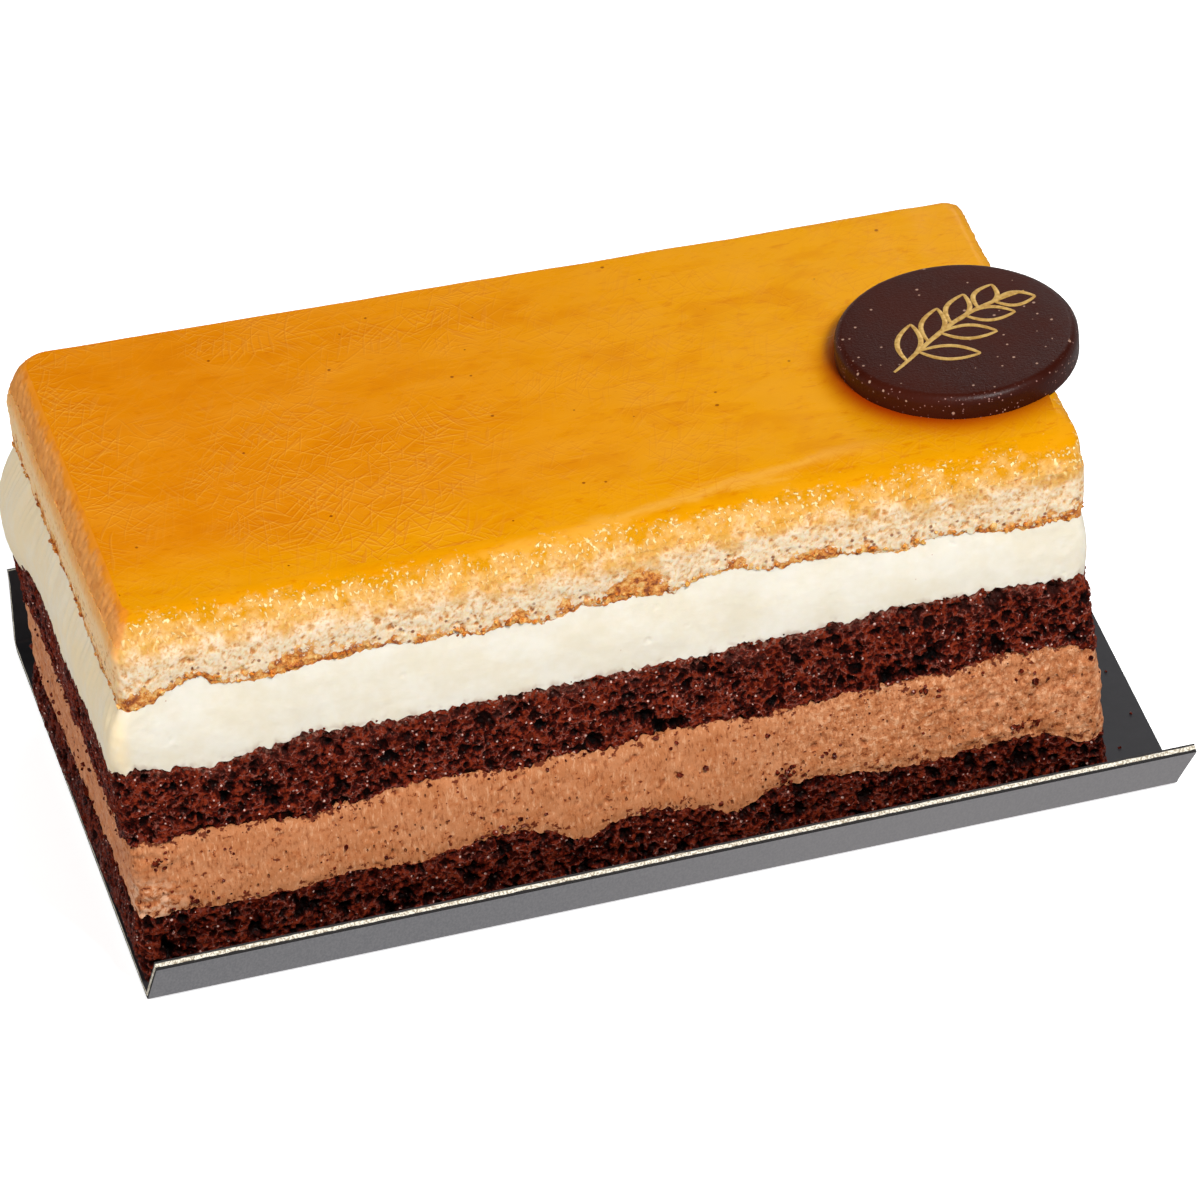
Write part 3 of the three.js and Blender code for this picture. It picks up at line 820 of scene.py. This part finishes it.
def makeJelly(materials):
    cell, rings, rounding = jelly["cell"], jelly["sideRings"], jelly["roundRings"]
    reach = seams["jellyFloor"]["reach"]
    across, deep = round(cake["length"] / cell) + 2 * rings, round(cake["widthRight"] / cell) + 2 * rings
    corners = [onShoulder(Vector((*reached((Vector(spot), sides, None), reach).xy, cake["above"])))
               for spot, _, _, _, sides in blockCorners]
    sides = {}

    def ringPoint(ring, i, j):
        wide, high = across - 2 * ring, deep - 2 * ring
        if j == ring:
            side, k, steps = 0, i - ring, wide
        elif i == across - ring:
            side, k, steps = 1, j - ring, high
        elif j == deep - ring:
            side, k, steps = 2, across - ring - i, wide
        else:
            side, k, steps = 3, deep - ring - j, high
        if (ring, side) not in sides:
            sides[ring, side] = blockSide(side, steps)
        return sides[ring, side][k]

    discAt = Vector((disc["x"], disc["y"]))
    towards = math.radians(jelly["meniscus"]["towards"])
    bm = bmesh.new()
    bmesh.ops.create_grid(bm, x_segments=across, y_segments=deep, size=0.5)
    sideLayer = bm.verts.layers.float.new("side")
    shadeLayer = bm.verts.layers.float.new("shade")
    riseLayer = bm.verts.layers.float.new("rise")  # millimetres over the seam with the sponge
    pit = bm.verts.layers.float.new("pit")
    leftLayer = bm.verts.layers.float.new("left")  # 1 where the side faces left
    for v in bm.verts:
        i, j = round((v.co.x + 0.5) * across), round((v.co.y + 0.5) * deep)
        ring = min(i, j, across - i, deep - j)
        facing = Vector((0, 0, 1))
        side = 0.0
        if ring <= rings + rounding:
            entry = ringPoint(ring, i, j)
            base = reached(entry, reach)
        if ring < rings:
            turn = ring / rings * math.pi / 2
            side = 1 - math.sin(turn)
            v[leftLayer] = clamp01(-entry[2].x)
            low, high = raggedSeam(seams["jellyFloor"], base.x, base.y), topHeight(base.x, base.y)
            point = onShoulder(Vector((base.x, base.y, mix(low, high, math.sin(turn)))))
            point.z += math.sin(turn) * (topHeight(point.x, point.y) - high)
            facing = (entry[2].to_3d() * math.cos(turn) + facing * math.sin(turn)).normalized()
        else:
            a, b = (i - rings) / (across - 2 * rings), (j - rings) / (deep - 2 * rings)
            point = corners[0].lerp(corners[1], a).lerp(corners[3].lerp(corners[2], a), b)
            if ring <= rings + rounding:
                share = [1 - 2 * (ring - rings) / (count - 2 * rings) for count in (across, deep)]
                edge = onShoulder(Vector((base.x, base.y, cake["above"])))
                half = widthAt(edge.x) / 2
                edge = Vector((edge.x * share[0], half + (edge.y - half) * share[1], 0))
                point = edge.lerp(point, smooth((ring - rings) / rounding))
            point.z = topHeight(point.x, point.y)
        v[pit] = frothDepth(point, layers["vanilla_sponge"]["crumb"]["cell"]) if side > 0 else 0
        point += facing * jellyRelief(point, side, v[pit])
        away = point.xy - discAt
        gap = away.length - disc["radius"]
        lean = 0.5 + 0.5 * math.cos(math.atan2(away.y, away.x) - towards)
        if side == 0:
            risen = jelly["meniscus"]["rise"] * (0.25 + 0.75 * lean)
            point.z += risen * hill(max(0.0, gap), jelly["meniscus"]["width"])
            point.z -= (risen + 0.5) * smooth((-1.2 - gap) / 0.8)  # it dips once it is out of sight
        v[riseLayer] = point.z - seamHeight(seams["jellyFloor"], point.x, point.y)
        v[sideLayer] = side
        # painted shadow of the disc on the jelly, strongest towards the lower left
        v[shadeLayer] = hill(max(0.0, gap), 1.7) * (0.4 + 0.6 * lean)
        v.co = point
    foldIn(bm, lambda v: 0)
    settle(bm)
    for face in bm.faces:
        face.material_index = 1 if max(v[sideLayer] for v in face.verts) > 0 else 0
    piece = newPiece("jelly_sheet", bm, materials)
    piece.data.shade_smooth()
    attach(piece, "root")
    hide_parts("jelly_glaze")
    print("made", piece.name, len(piece.data.polygons))
    return piece


jellyColours = {
    "amber": rgb(220, 130, 0), "golden": rgb(224, 149, 0), "pale": rgb(229, 160, 12),
    "cloud": rgb(236, 164, 40), "deep": rgb(200, 102, 0), "discShadow": rgb(146, 46, 0),
    "speck": rgb(126, 50, 0), "creaseHighlight": rgb(248, 186, 64), "highlightStreak": rgb(240, 184, 88),
    "leftTop": rgb(230, 140, 32), "leftLow": rgb(228, 152, 80), "leftPit": rgb(192, 100, 40),
}


def creaseLines(at, turn):
    # long thin creases that lie one way: a painted highlight edge with a painted shade edge beside it
    creases = jelly["creases"]

    def line(shift):
        inputs = {"Vector": at, "Location": (turn, shift, 0), "Rotation": (0, 0, math.radians(turn)),
                  "Scale": (creases["length"], creases["width"], 1)}
        turned = put(treeOf(at), "ShaderNodeMapping", inputs, vector_type="TEXTURE").outputs[0]
        inputs = {"Vector": turned, "Scale": 1.0, "Detail": 0.0}
        field = put(treeOf(at), "ShaderNodeTexNoise", inputs, noise_dimensions="2D").outputs["Fac"]
        return remap(field, 0.68, 0.78)

    return line(0.0), line(creases["width"] / 2)


def jellyTop(at):
    # the colour seen from above, its roughness, and how far to the right it lies
    x, y = axis(at, "X"), axis(at, "Y")
    toRight = remap(x, blockX - 40, blockX + 45)
    clouds = noiseValue(stretch(at, 0.1, 0.22, 0.1), 1.0, 4.0, 0.66, 0.3)
    brushed = noiseValue(stretch(at, 0.45, 1.3, 0.3), 1.0, 3.0, 0.7)
    # a painted highlight: a soft pale band along the front slope
    highlightStreak = jelly["highlightStreak"]
    middle = plus(times(x, highlightStreak["slant"]), blockY + highlightStreak["at"] - blockX * highlightStreak["slant"])
    away = math2("ABSOLUTE", plus(minus(y, middle), remap(clouds, 0.3, 0.7, -0.8, 0.8)))
    shine = times(remap(away, highlightStreak["half"], 0.0, 0.0, highlightStreak["share"]),
                  remap(x, blockX + highlightStreak["from"], blockX + highlightStreak["from"] + 20),
                  remap(x, blockX + highlightStreak["to"], blockX + highlightStreak["to"] - 12))
    # painted sheen: paler towards the right and back, and a deeper golden on the front slope, where no sheen
    # shows
    color = blendColor(times(toRight, 0.8), jellyColours["amber"], jellyColours["pale"])
    color = paint(color, jellyColours, ("golden", times(remap(y, blockY + 15, blockY + 5), 0.8)),
                  ("cloud", remap(clouds, 0.5, 0.68, 0.0, 0.16)),
                  ("deep", remap(clouds, 0.5, 0.32, 0.0, 0.26)),
                  ("deep", remap(brushed, 0.56, 0.7, 0.0, 0.4)), ("highlightStreak", shine))
    return color, remap(clouds, 0.3, 0.7, 0.22, 0.34), toRight


def makeJellyMaterial():
    material, tree = newMaterial("fruit_jelly_finish", {**jelly["shader"], "Coat Weight": jelly["coat"]})
    at = objectMillimetres(tree)
    color, roughness, toRight = jellyTop(at)
    bent, slow = bend(at, 0.06, 1.0, 6)
    held = times(remap(slow, 0.36, 0.54, 0.25, 1.0), remap(toRight, 0.2, 0.9, 1.0, 0.35))
    for turn in jelly["creases"]["turns"]:
        light, dark = creaseLines(bent, turn)
        color = paint(color, jellyColours, ("creaseHighlight", times(light, 0.24, held)),
                      ("deep", times(dark, 0.42, held)))
    # dark specks, then the painted shadow around the disc
    color = paint(color, jellyColours, ("speck", times(dots(at, 0.34, 0.45, 0.08), 0.85)),
                  ("discShadow", attribute(tree, "shade")))
    return finished(material, {"Base Color": color, "Roughness": roughness})


def makeSoakedJellyMaterial():
    material, tree = newMaterial("soaked_jelly_finish", jelly["shader"])
    at = objectMillimetres(tree)
    color, roughness, _ = jellyTop(at)
    side, rise, pit, left = (attribute(tree, name) for name in ("side", "rise", "pit", "left"))
    soak = useGroup(soakedCrumb, {"Vector": at, "Rise": rise, "Depth": pit})
    ragged = plus(side, remap(noiseValue(at, 0.5, 4.0, 0.6), 0.3, 0.7, -0.16, 0.16))
    onSide = remap(ragged, 0.06, 0.3)
    atLeft = remap(left, 0.5, 0.8)
    leftFace = times(atLeft, remap(side, 0.004, 0.03))
    leftColor = blendColor(remap(ragged, 0.04, 0.4), jellyColours["leftTop"], jellyColours["leftLow"])
    stains = remap(noiseValue(at, 0.7, 3.0, 0.6), 0.48, 0.7, 0.0, 0.4)
    # stains, and painted shade in the pores of the left face
    leftColor = paint(leftColor, jellyColours, ("leftPit", stains),
                      ("leftPit", remap(pit, 0.3, 1.0, 0.0, 0.6)))
    color = blendColor(onSide, color, soak["Color"])
    color = blendColor(times(leftFace, 0.92), color, leftColor)
    dull = math2("MAXIMUM", times(onSide, 0.25), times(leftFace, 0.4))
    wet = times(soak["Height"], times(onSide, remap(atLeft, 0.0, 1.0, 1.0, 0.15)))
    return finished(material, {
        "Base Color": color, "Roughness": plus(roughness, dull), "Normal": bump(wet, 0.14),
        "Coat Weight": remap(side, 0.0, 0.05, jelly["coat"], 0.0)})


def onDisc(point):
    tilt = Matrix.Rotation(-math.atan(cake["topTilt"]), 4, "Y")
    return Matrix.Translation((disc["x"], disc["y"], disc["foot"])) @ tilt @ point


def makeDisc(material):
    bm = bmesh.new()
    high = disc["thickness"] - disc["underPrint"]
    profile = [bm.verts.new((0, 0, 0))]

    def arc(inset, centreHeight, radius, start, steps):
        for k in range(steps + 1):
            angle = math.radians(start + 90 * k / steps)
            profile.append(bm.verts.new((disc["radius"] - inset + radius * math.cos(angle), 0,
                                         centreHeight + radius * math.sin(angle))))

    arc(disc["footRound"], disc["footRound"], disc["footRound"], -90, 5)
    arc(disc["topRound"], high - disc["topRound"], disc["topRound"], 0, 8)
    for share in (0.8, 0.6, 0.4, 0.2):
        profile.append(bm.verts.new((share * (disc["radius"] - disc["topRound"]), 0, high)))
    profile.append(bm.verts.new((0, 0, high)))
    edges = [bm.edges.new(pair) for pair in zip(profile, profile[1:])]
    bmesh.ops.spin(bm, geom=profile + edges, cent=(0, 0, 0), axis=(0, 0, 1), angle=math.tau,
                   steps=120, use_merge=True)
    bmesh.ops.remove_doubles(bm, verts=bm.verts, dist=0.001)
    rimLayer = bm.verts.layers.float.new("rim")
    for v in bm.verts:
        v[rimLayer] = smooth((v.co.xy.length - disc["radius"] + 0.9) / 0.6)
        lump = 0.03 * noise.noise(v.co / 4.0) + 0.012 * noise.noise(v.co / 1.2)
        away = Vector((v.co.x, v.co.y, 0))
        if away.length > 1:
            v.co += away.normalized() * lump
        v.co = place(onDisc(v.co))
    bmesh.ops.recalc_face_normals(bm, faces=bm.faces)
    piece = newPiece("chocolate_round", bm, [material])
    piece.data.shade_smooth()
    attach(piece, "root")
    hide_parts("chocolate_disc")
    return piece


chocolateColours = {"body": rgb(50, 12, 3), "worn": rgb(60, 18, 6), "speckGlint": rgb(200, 160, 138),
                    "glint": rgb(190, 140, 130)}


def makeChocolateMaterial():
    material, tree = newMaterial("dark_chocolate_finish", {"Specular IOR Level": 0.18})
    at = objectMillimetres(tree)
    uneven = mottled(at, 0.12, 0.3)
    color = blendColor(uneven, chocolateColours["body"], chocolateColours["worn"])
    # painted glints: pale specks over the top and brighter ones along the rim
    color = paint(color, chocolateColours, ("speckGlint", times(dots(at, 1.1, 0.3, 0.2), 0.7)),
                  ("glint", times(dots(at, 2.9, 0.4, 0.3), attribute(tree, "rim"), 0.6)))
    return finished(material, {"Base Color": color, "Roughness": remap(uneven, 0.0, 1.0, 0.36, 0.48),
                               "Normal": bump(noiseValue(at, 3.5, 3.0, 0.6), 0.05, 0.8)})


sprig = {"stroke": 0.74, "relief": 0.05, "turn": 24, "steps": 30, "half": 9.9, "leaf": 6.8,
         "gold": (rgb(226, 184, 104), rgb(196, 148, 70))}


def makeSprig(material):
    bm = bmesh.new()
    chance = random.Random(5)

    def stroke(path, width):
        # a ribbon along path(t), rounded across and thinning to its ends
        grid = bmesh.ops.create_grid(bm, x_segments=sprig["steps"], y_segments=4, size=0.5)["verts"]
        for v in grid:
            t, across = v.co.x + 0.5, v.co.y * 2
            here, ahead = path(clamp01(t)), path(clamp01(t + 0.01)) if t < 0.99 else None
            direction = (ahead - here) if ahead else (here - path(t - 0.01))
            normal = Vector((-direction.y, direction.x)).normalized()
            half = width / 2 * (0.45 + 0.55 * math.sin(math.pi * clamp01(t)) ** 0.5)
            spot = here + normal * across * half
            height = disc["thickness"] - disc["underPrint"] - 0.03 + sprig["relief"] * 1.6 * (1 - across ** 2)
            v.co = Vector((spot.x, spot.y, height))

    def stem(t):
        return Vector((mix(-sprig["half"], sprig["half"], t), 2.0 * math.sin(3.2 * t - 0.7) - 0.5))

    stroke(stem, sprig["stroke"] * 1.1)
    for k in range(8):
        root = stem(0.12 + 0.1 * k)
        up = 1 if k % 2 == 0 else -1
        lean = math.radians(48 - 2.5 * k) * up
        along = Vector((math.cos(lean), math.sin(lean)))
        side = Vector((-along.y, along.x))
        length = sprig["leaf"] - 0.34 * k + chance.uniform(-0.25, 0.25)
        for edge in (1, -1):
            stroke(lambda t, edge=edge: root + along * length * t
                   + side * edge * 1.25 * math.sin(math.pi * t) ** 0.9, sprig["stroke"])
    bmesh.ops.rotate(bm, verts=bm.verts, cent=(0, 0, 0),
                     matrix=Matrix.Rotation(math.radians(sprig["turn"]), 3, "Z"))
    for v in bm.verts:
        v.co = place(onDisc(v.co))
    piece = newPiece("gold_sprig", bm, [material])
    piece.data.shade_smooth()
    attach(piece, "root")
    return piece


def makeGoldMaterial():
    material, tree = newMaterial("gold_print", {"Metallic": 0.35})
    uneven = noiseValue(objectMillimetres(tree), 2.0, 3.0)
    return finished(material, {"Base Color": blendColor(remap(uneven, 0.35, 0.7), *sprig["gold"]),
                               "Roughness": remap(uneven, 0.3, 0.7, 0.34, 0.5)})


def trayPath():
    # the inner face from the front lip's edge to the back lip's: length so far, place and outward way
    card, bend, lip = tray["card"], tray["bend"], tray["lip"]
    outer = bend + card

    def fold(foldY, sign, lean):
        angle = math.radians(lean)
        straight = lip - outer * math.tan(angle / 2)
        centre = Vector((foldY - sign * outer * math.tan(angle / 2), outer))
        points = []
        for k in range(9):
            turn = angle * k / 8
            down = Vector((sign * math.sin(turn), -math.cos(turn)))
            points.append((centre + down * bend, down))
        end, down = points[-1]
        run = Vector((sign * math.cos(angle), math.sin(angle)))
        steps = round(straight / tray["cell"])
        points += [(end + run * straight * k / steps, down) for k in range(1, steps + 1)]
        return points

    front = fold(tray["front"], -1, tray["frontLean"])[::-1]
    back = fold(tray["back"], 1, tray["backLean"])
    (start, _), (end, _) = front[-1], back[0]
    steps = round((end - start).length / tray["cell"] / 2)
    middle = [(start.lerp(end, k / steps), Vector((0, -1))) for k in range(1, steps)]
    return front + middle + back


def makeTray(materials):
    path = trayPath()
    long = round((tray["right"] - tray["left"]) / tray["cell"])
    lipTop = tray["lip"] * math.sin(math.radians(tray["frontLean"]))

    def onTray(x, y, z):
        skew = tray["skewLeft"] if x < 0 else tray["skewRight"]
        return Vector((x + skew * clamp01((z - tray["card"]) / (lipTop - tray["card"])), y, z))

    bm = bmesh.new()
    bmesh.ops.create_grid(bm, x_segments=long, y_segments=len(path) - 1, size=0.5)
    down = bm.verts.layers.float_vector.new("down")
    through = bm.verts.layers.float.new("through")
    for v in bm.verts:
        spot, facing = path[round((v.co.y + 0.5) * (len(path) - 1))]
        v.co = (mix(tray["left"], tray["right"], v.co.x + 0.5), spot.x, spot.y)
        v[down] = (0, facing.x, facing.y)
    bm.normal_update()
    inside = set(bm.faces)
    faces = list(bm.faces)
    for step in range(1, tray["plies"] + 1):
        made = bmesh.ops.extrude_face_region(bm, geom=faces, use_keep_orig=(step == 1))["geom"]
        faces = [g for g in made if isinstance(g, bmesh.types.BMFace)]
        for v in (g for g in made if isinstance(g, bmesh.types.BMVert)):
            v.co += v[down] * tray["card"] / tray["plies"]
            v[through] = step / tray["plies"]
    outside = set(faces)
    for face in bm.faces:
        face.material_index = 0 if face in inside else 2 if face in outside else 1
        face.smooth = face.material_index != 1
    for v in bm.verts:
        v.co = onTray(*v.co)
    for v in {v for face in bm.faces if face.material_index == 1 for v in face.verts}:
        if 0.1 < v[through] < 0.9:
            v.co += noise.noise_vector(v.co / 0.9) * tray["coreRough"]
    for edge in bm.edges:
        if len({face.material_index for face in edge.link_faces}) > 1:
            edge.smooth = False
    bm.verts.layers.float_vector.remove(down)
    settle(bm)
    piece = newPiece("folded_card", bm, materials)
    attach(piece, "root")
    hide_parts("card_tray")
    print("made", piece.name, len(piece.data.polygons))
    return piece


cardColours = {
    "black": (rgb(40, 40, 43), rgb(54, 54, 57)), "dust": rgb(150, 140, 130),
    "pulp": (rgb(240, 234, 218), rgb(164, 151, 128)), "upper": rgb(40, 38, 38), "lower": rgb(24, 22, 22),
    "silver": (rgb(158, 157, 162), rgb(184, 182, 185)), "sheen": rgb(214, 208, 208),
    "scuff": rgb(170, 166, 164),
}


def makeCardBlack():
    material, tree = newMaterial("card_black_coat", {"Specular IOR Level": 0.4})
    at = objectMillimetres(tree)
    uneven = mottled(at, 0.1, 0.4)
    color = blendColor(uneven, *cardColours["black"])
    color = paint(color, cardColours, ("dust", times(dots(at, 0.5, 0.14, 0.09), 0.5)))
    return finished(material, {"Base Color": color, "Roughness": remap(uneven, 0.0, 1.0, 0.42, 0.52),
                               "Normal": bump(noiseValue(at, 2.5, 3.0), 0.02, 0.4)})


def makeCardCore():
    material, tree = newMaterial("card_cut_edge", {"Roughness": 0.8})
    fibres = noiseValue(objectMillimetres(tree), 4.5, 3.0, 0.6)
    shifted = plus(attribute(tree, "through"), times(minus(fibres, 0.5), 0.08))
    color = blendColor(remap(fibres, 0.42, 0.6), *cardColours["pulp"])
    color = paint(color, cardColours, ("upper", remap(shifted, 0.26, 0.2)),
                  ("lower", remap(shifted, 0.62, 0.68)))
    return finished(material, {"Base Color": color, "Normal": bump(fibres, 0.1, 0.8)})


def makeCardSilver():
    material, tree = newMaterial("card_silver_coat", {"Metallic": 0.6})
    at = objectMillimetres(tree)
    grain = noiseValue(stretch(at, 2.2, 0.8, 0.8), 2.0, 3.0, 0.7)
    color = blendColor(remap(grain, 0.34, 0.66), *cardColours["silver"])
    color = paint(color, cardColours, ("sheen", remap(axis(at, "X"), -30, 30, 0.0, 0.35)),
                  ("scuff", times(dots(stretch(at, 0.3, 1.0, 1.0), 0.8, 0.1, 0.12), 0.35)))
    return finished(material, {"Base Color": color, "Roughness": remap(grain, 0.3, 0.7, 0.4, 0.52),
                               "Normal": bump(grain, 0.02, 0.5)})


crumbSets = {
    "cocoa_crumbs": {
        "count": 700, "radius": (0.1, 0.42), "slot": "cocoa_sponge", "seed": 11,
        # crumbs dragged over the mousse: x, level, half spread, how many
        "clusters": [(18, 0.2, 2.0, 26), (22, 0.3, 0.8, 9), (-49.6, 0.72, 1.4, 26), (-42, 0.66, 0.7, 9),
                     (-46.5, 0.12, 0.9, 9), (33, 0.86, 1.6, 12), (44, 0.16, 2.4, 18), (-12, 0.1, 2.0, 12)]},
    "crust_crumbs": {"count": 420, "radius": (0.14, 0.5), "slot": "vanilla_sponge", "seed": 12},
}


def addCrumb(bm, spot, radius, chance):
    verts = bmesh.ops.create_icosphere(bm, subdivisions=1, radius=radius)["verts"]
    turn = Matrix.Rotation(chance.uniform(0, math.tau), 3, Vector((chance.random(), chance.random(), 1)))
    squash = Vector((chance.uniform(0.7, 1.2), chance.uniform(0.7, 1.2), chance.uniform(0.6, 1.0)))
    for v in verts:
        v.co = turn @ (v.co * squash * chance.uniform(0.75, 1.2))
        v.co += spot


def makeCrumbs(name, spots, material):
    settings = crumbSets[name]
    chance = random.Random(settings["seed"])
    bm = bmesh.new()
    for spot, scale in spots(chance, settings["count"]):
        addCrumb(bm, spot, mix(*settings["radius"], chance.random() ** 2) * scale, chance)
    for v in bm.verts:
        v.co = place(v.co)
    piece = newPiece(name, bm, [material])
    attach(piece, "root")
    print("made", piece.name, len(piece.data.polygons))
    return piece


def wallSpot(entry, name, level):
    layer = layers[name]
    floor, top = seams[layer["floor"]], seams[layer["top"]]
    low, high = reached(entry, floor["reach"]), reached(entry, top["reach"])
    belly = reached(entry, layer["bulge"]) - entry[0].to_3d()
    spot = low.lerp(high, level) + belly * math.sin(math.pi * level)
    spot.z = mix(seamHeight(floor, spot.x, spot.y), seamHeight(top, spot.x, spot.y), level)
    return spot


def cocoaSpots(chance, count):
    loop = blockLoop(0.7)
    frontSide = blockSide(0, 400)
    for x, level, spread, number in crumbSets["cocoa_crumbs"]["clusters"]:
        for k in range(number):
            target = x + chance.gauss(0, spread / 2)
            entry = min(frontSide, key=lambda one: abs(one[0].x - target))
            yield wallSpot(entry, "chocolate_mousse", clamp01(level + chance.gauss(0, 0.04))), 0.9
    for k in range(count):
        entry = chance.choice(loop)
        kind = chance.random()
        if kind < 0.45:
            edge = chance.choice((0.0, 1.0))
            spot = wallSpot(entry, "chocolate_mousse", abs(edge - 0.3 * chance.random() ** 2))
        elif kind < 0.7:
            spot = wallSpot(entry, "chocolate_mousse", chance.random())
        elif kind < 0.85:
            spot = wallSpot(entry, "white_cream", 0.03 * chance.random())
        else:
            out = chance.uniform(0.3, 1.2 if entry[2].y < -0.5 else 6)
            spot = wallSpot(entry, "base_sponge", 0) + entry[2].to_3d() * out
            spot.z = tray["card"] + 0.1
            if spot.y < 0.2 or not tray["left"] + 1 < spot.x < tray["right"] - 1:
                continue
        yield spot, 1.0


def crustSpots(chance, count):
    loop = blockLoop(0.7)
    for k in range(count):
        entry = chance.choice(loop)
        yield wallSpot(entry, "vanilla_sponge", 0.16 * chance.random()), 1.0


studio = {
    "world": {"below": 0.42, "horizon": 0.6, "above": 0.05},
    "lights": [
        # name, azimuth, elevation, distance, width, height, watts, seen in reflections
        ("key", 22, 50, 1.0, 0.22, 0.22, 9.8, True),
        ("fill", -78, 28, 1.2, 0.5, 0.5, 6.1, False),
        ("back", 172, 12, 1.2, 0.5, 0.5, 2.6, False),
        ("sheen", 150, 30, 0.9, 0.3, 0.2, 0.6, True),
    ],
    "floor": {"size": 8, "glow": 0.7},
}


def makeStudio():
    world = bpy.data.worlds.new("studio")
    scene.world = world
    world.use_nodes = True
    tree = world.node_tree
    up = axis(put(tree, "ShaderNodeTexCoord").outputs["Generated"], "Z")
    levels = studio["world"]
    low = remap(up, -0.3, -0.05, levels["below"], levels["horizon"])
    high = remap(up, 0.08, 0.4, 0.0, levels["above"] - levels["horizon"])
    fill(tree.nodes["Background"], {"Color": (1, 1, 1, 1), "Strength": plus(low, high)})
    middle = Vector((0, 0, 0.02))
    for name, azimuth, elevation, distance, width, height, watts, reflected in studio["lights"]:
        light = bpy.data.lights.new(name, "AREA")
        light.shape = "RECTANGLE"
        light.size, light.size_y, light.energy = width, height, watts
        away = direction(azimuth, elevation)
        lamp = bpy.data.objects.new(name, light)
        lamp.matrix_world = (Matrix.Translation(middle + away * distance)
                             @ away.to_track_quat("Z", "Y").to_matrix().to_4x4())
        lamp.visible_glossy = reflected
        scene.collection.objects.link(lamp)
    bm = bmesh.new()
    bmesh.ops.create_grid(bm, x_segments=4, y_segments=4, size=studio["floor"]["size"] / 2)
    material, tree = newMaterial("floor_paper", {
        "Roughness": 0.9, "Specular IOR Level": 0.0, "Emission Color": (1, 1, 1, 1),
        "Emission Strength": studio["floor"]["glow"]})
    tone = blendColor(noiseValue(objectMillimetres(tree), 0.02), rgb(252, 252, 252), rgb(248, 248, 248))
    finished(material, {"Base Color": tone})
    floor = newPiece("floor", bm, [material])
    floor.visible_diffuse = False  # the studio's bounce light is the world's lower half
    floor.visible_glossy = False
    scene.view_settings.view_transform = "Standard"


makeCamera()
makeStudio()
print("camera and studio ready")

cocoaPlain = makeCocoaMaterial("cocoa_sponge_base_finish", 0.25, False)
cocoaSoaked = makeCocoaMaterial("cocoa_sponge_middle_finish", 0.0, True)
vanillaFinish = makeVanillaMaterial()
makeLayer("base_sponge", 1, cocoaPlain)
makeLayer("chocolate_mousse", 2, makeMousseMaterial())
makeLayer("middle_sponge", 3, cocoaSoaked)
makeLayer("white_cream", 4, makeCreamMaterial())
makeLayer("vanilla_sponge", 5, vanillaFinish)
makeJelly([makeJellyMaterial(), makeSoakedJellyMaterial()])
makeDisc(makeChocolateMaterial())
makeSprig(makeGoldMaterial())
makeTray([makeCardBlack(), makeCardCore(), makeCardSilver()])
makeCrumbs("cocoa_crumbs", cocoaSpots, cocoaPlain)
makeCrumbs("crust_crumbs", crustSpots, vanillaFinish)
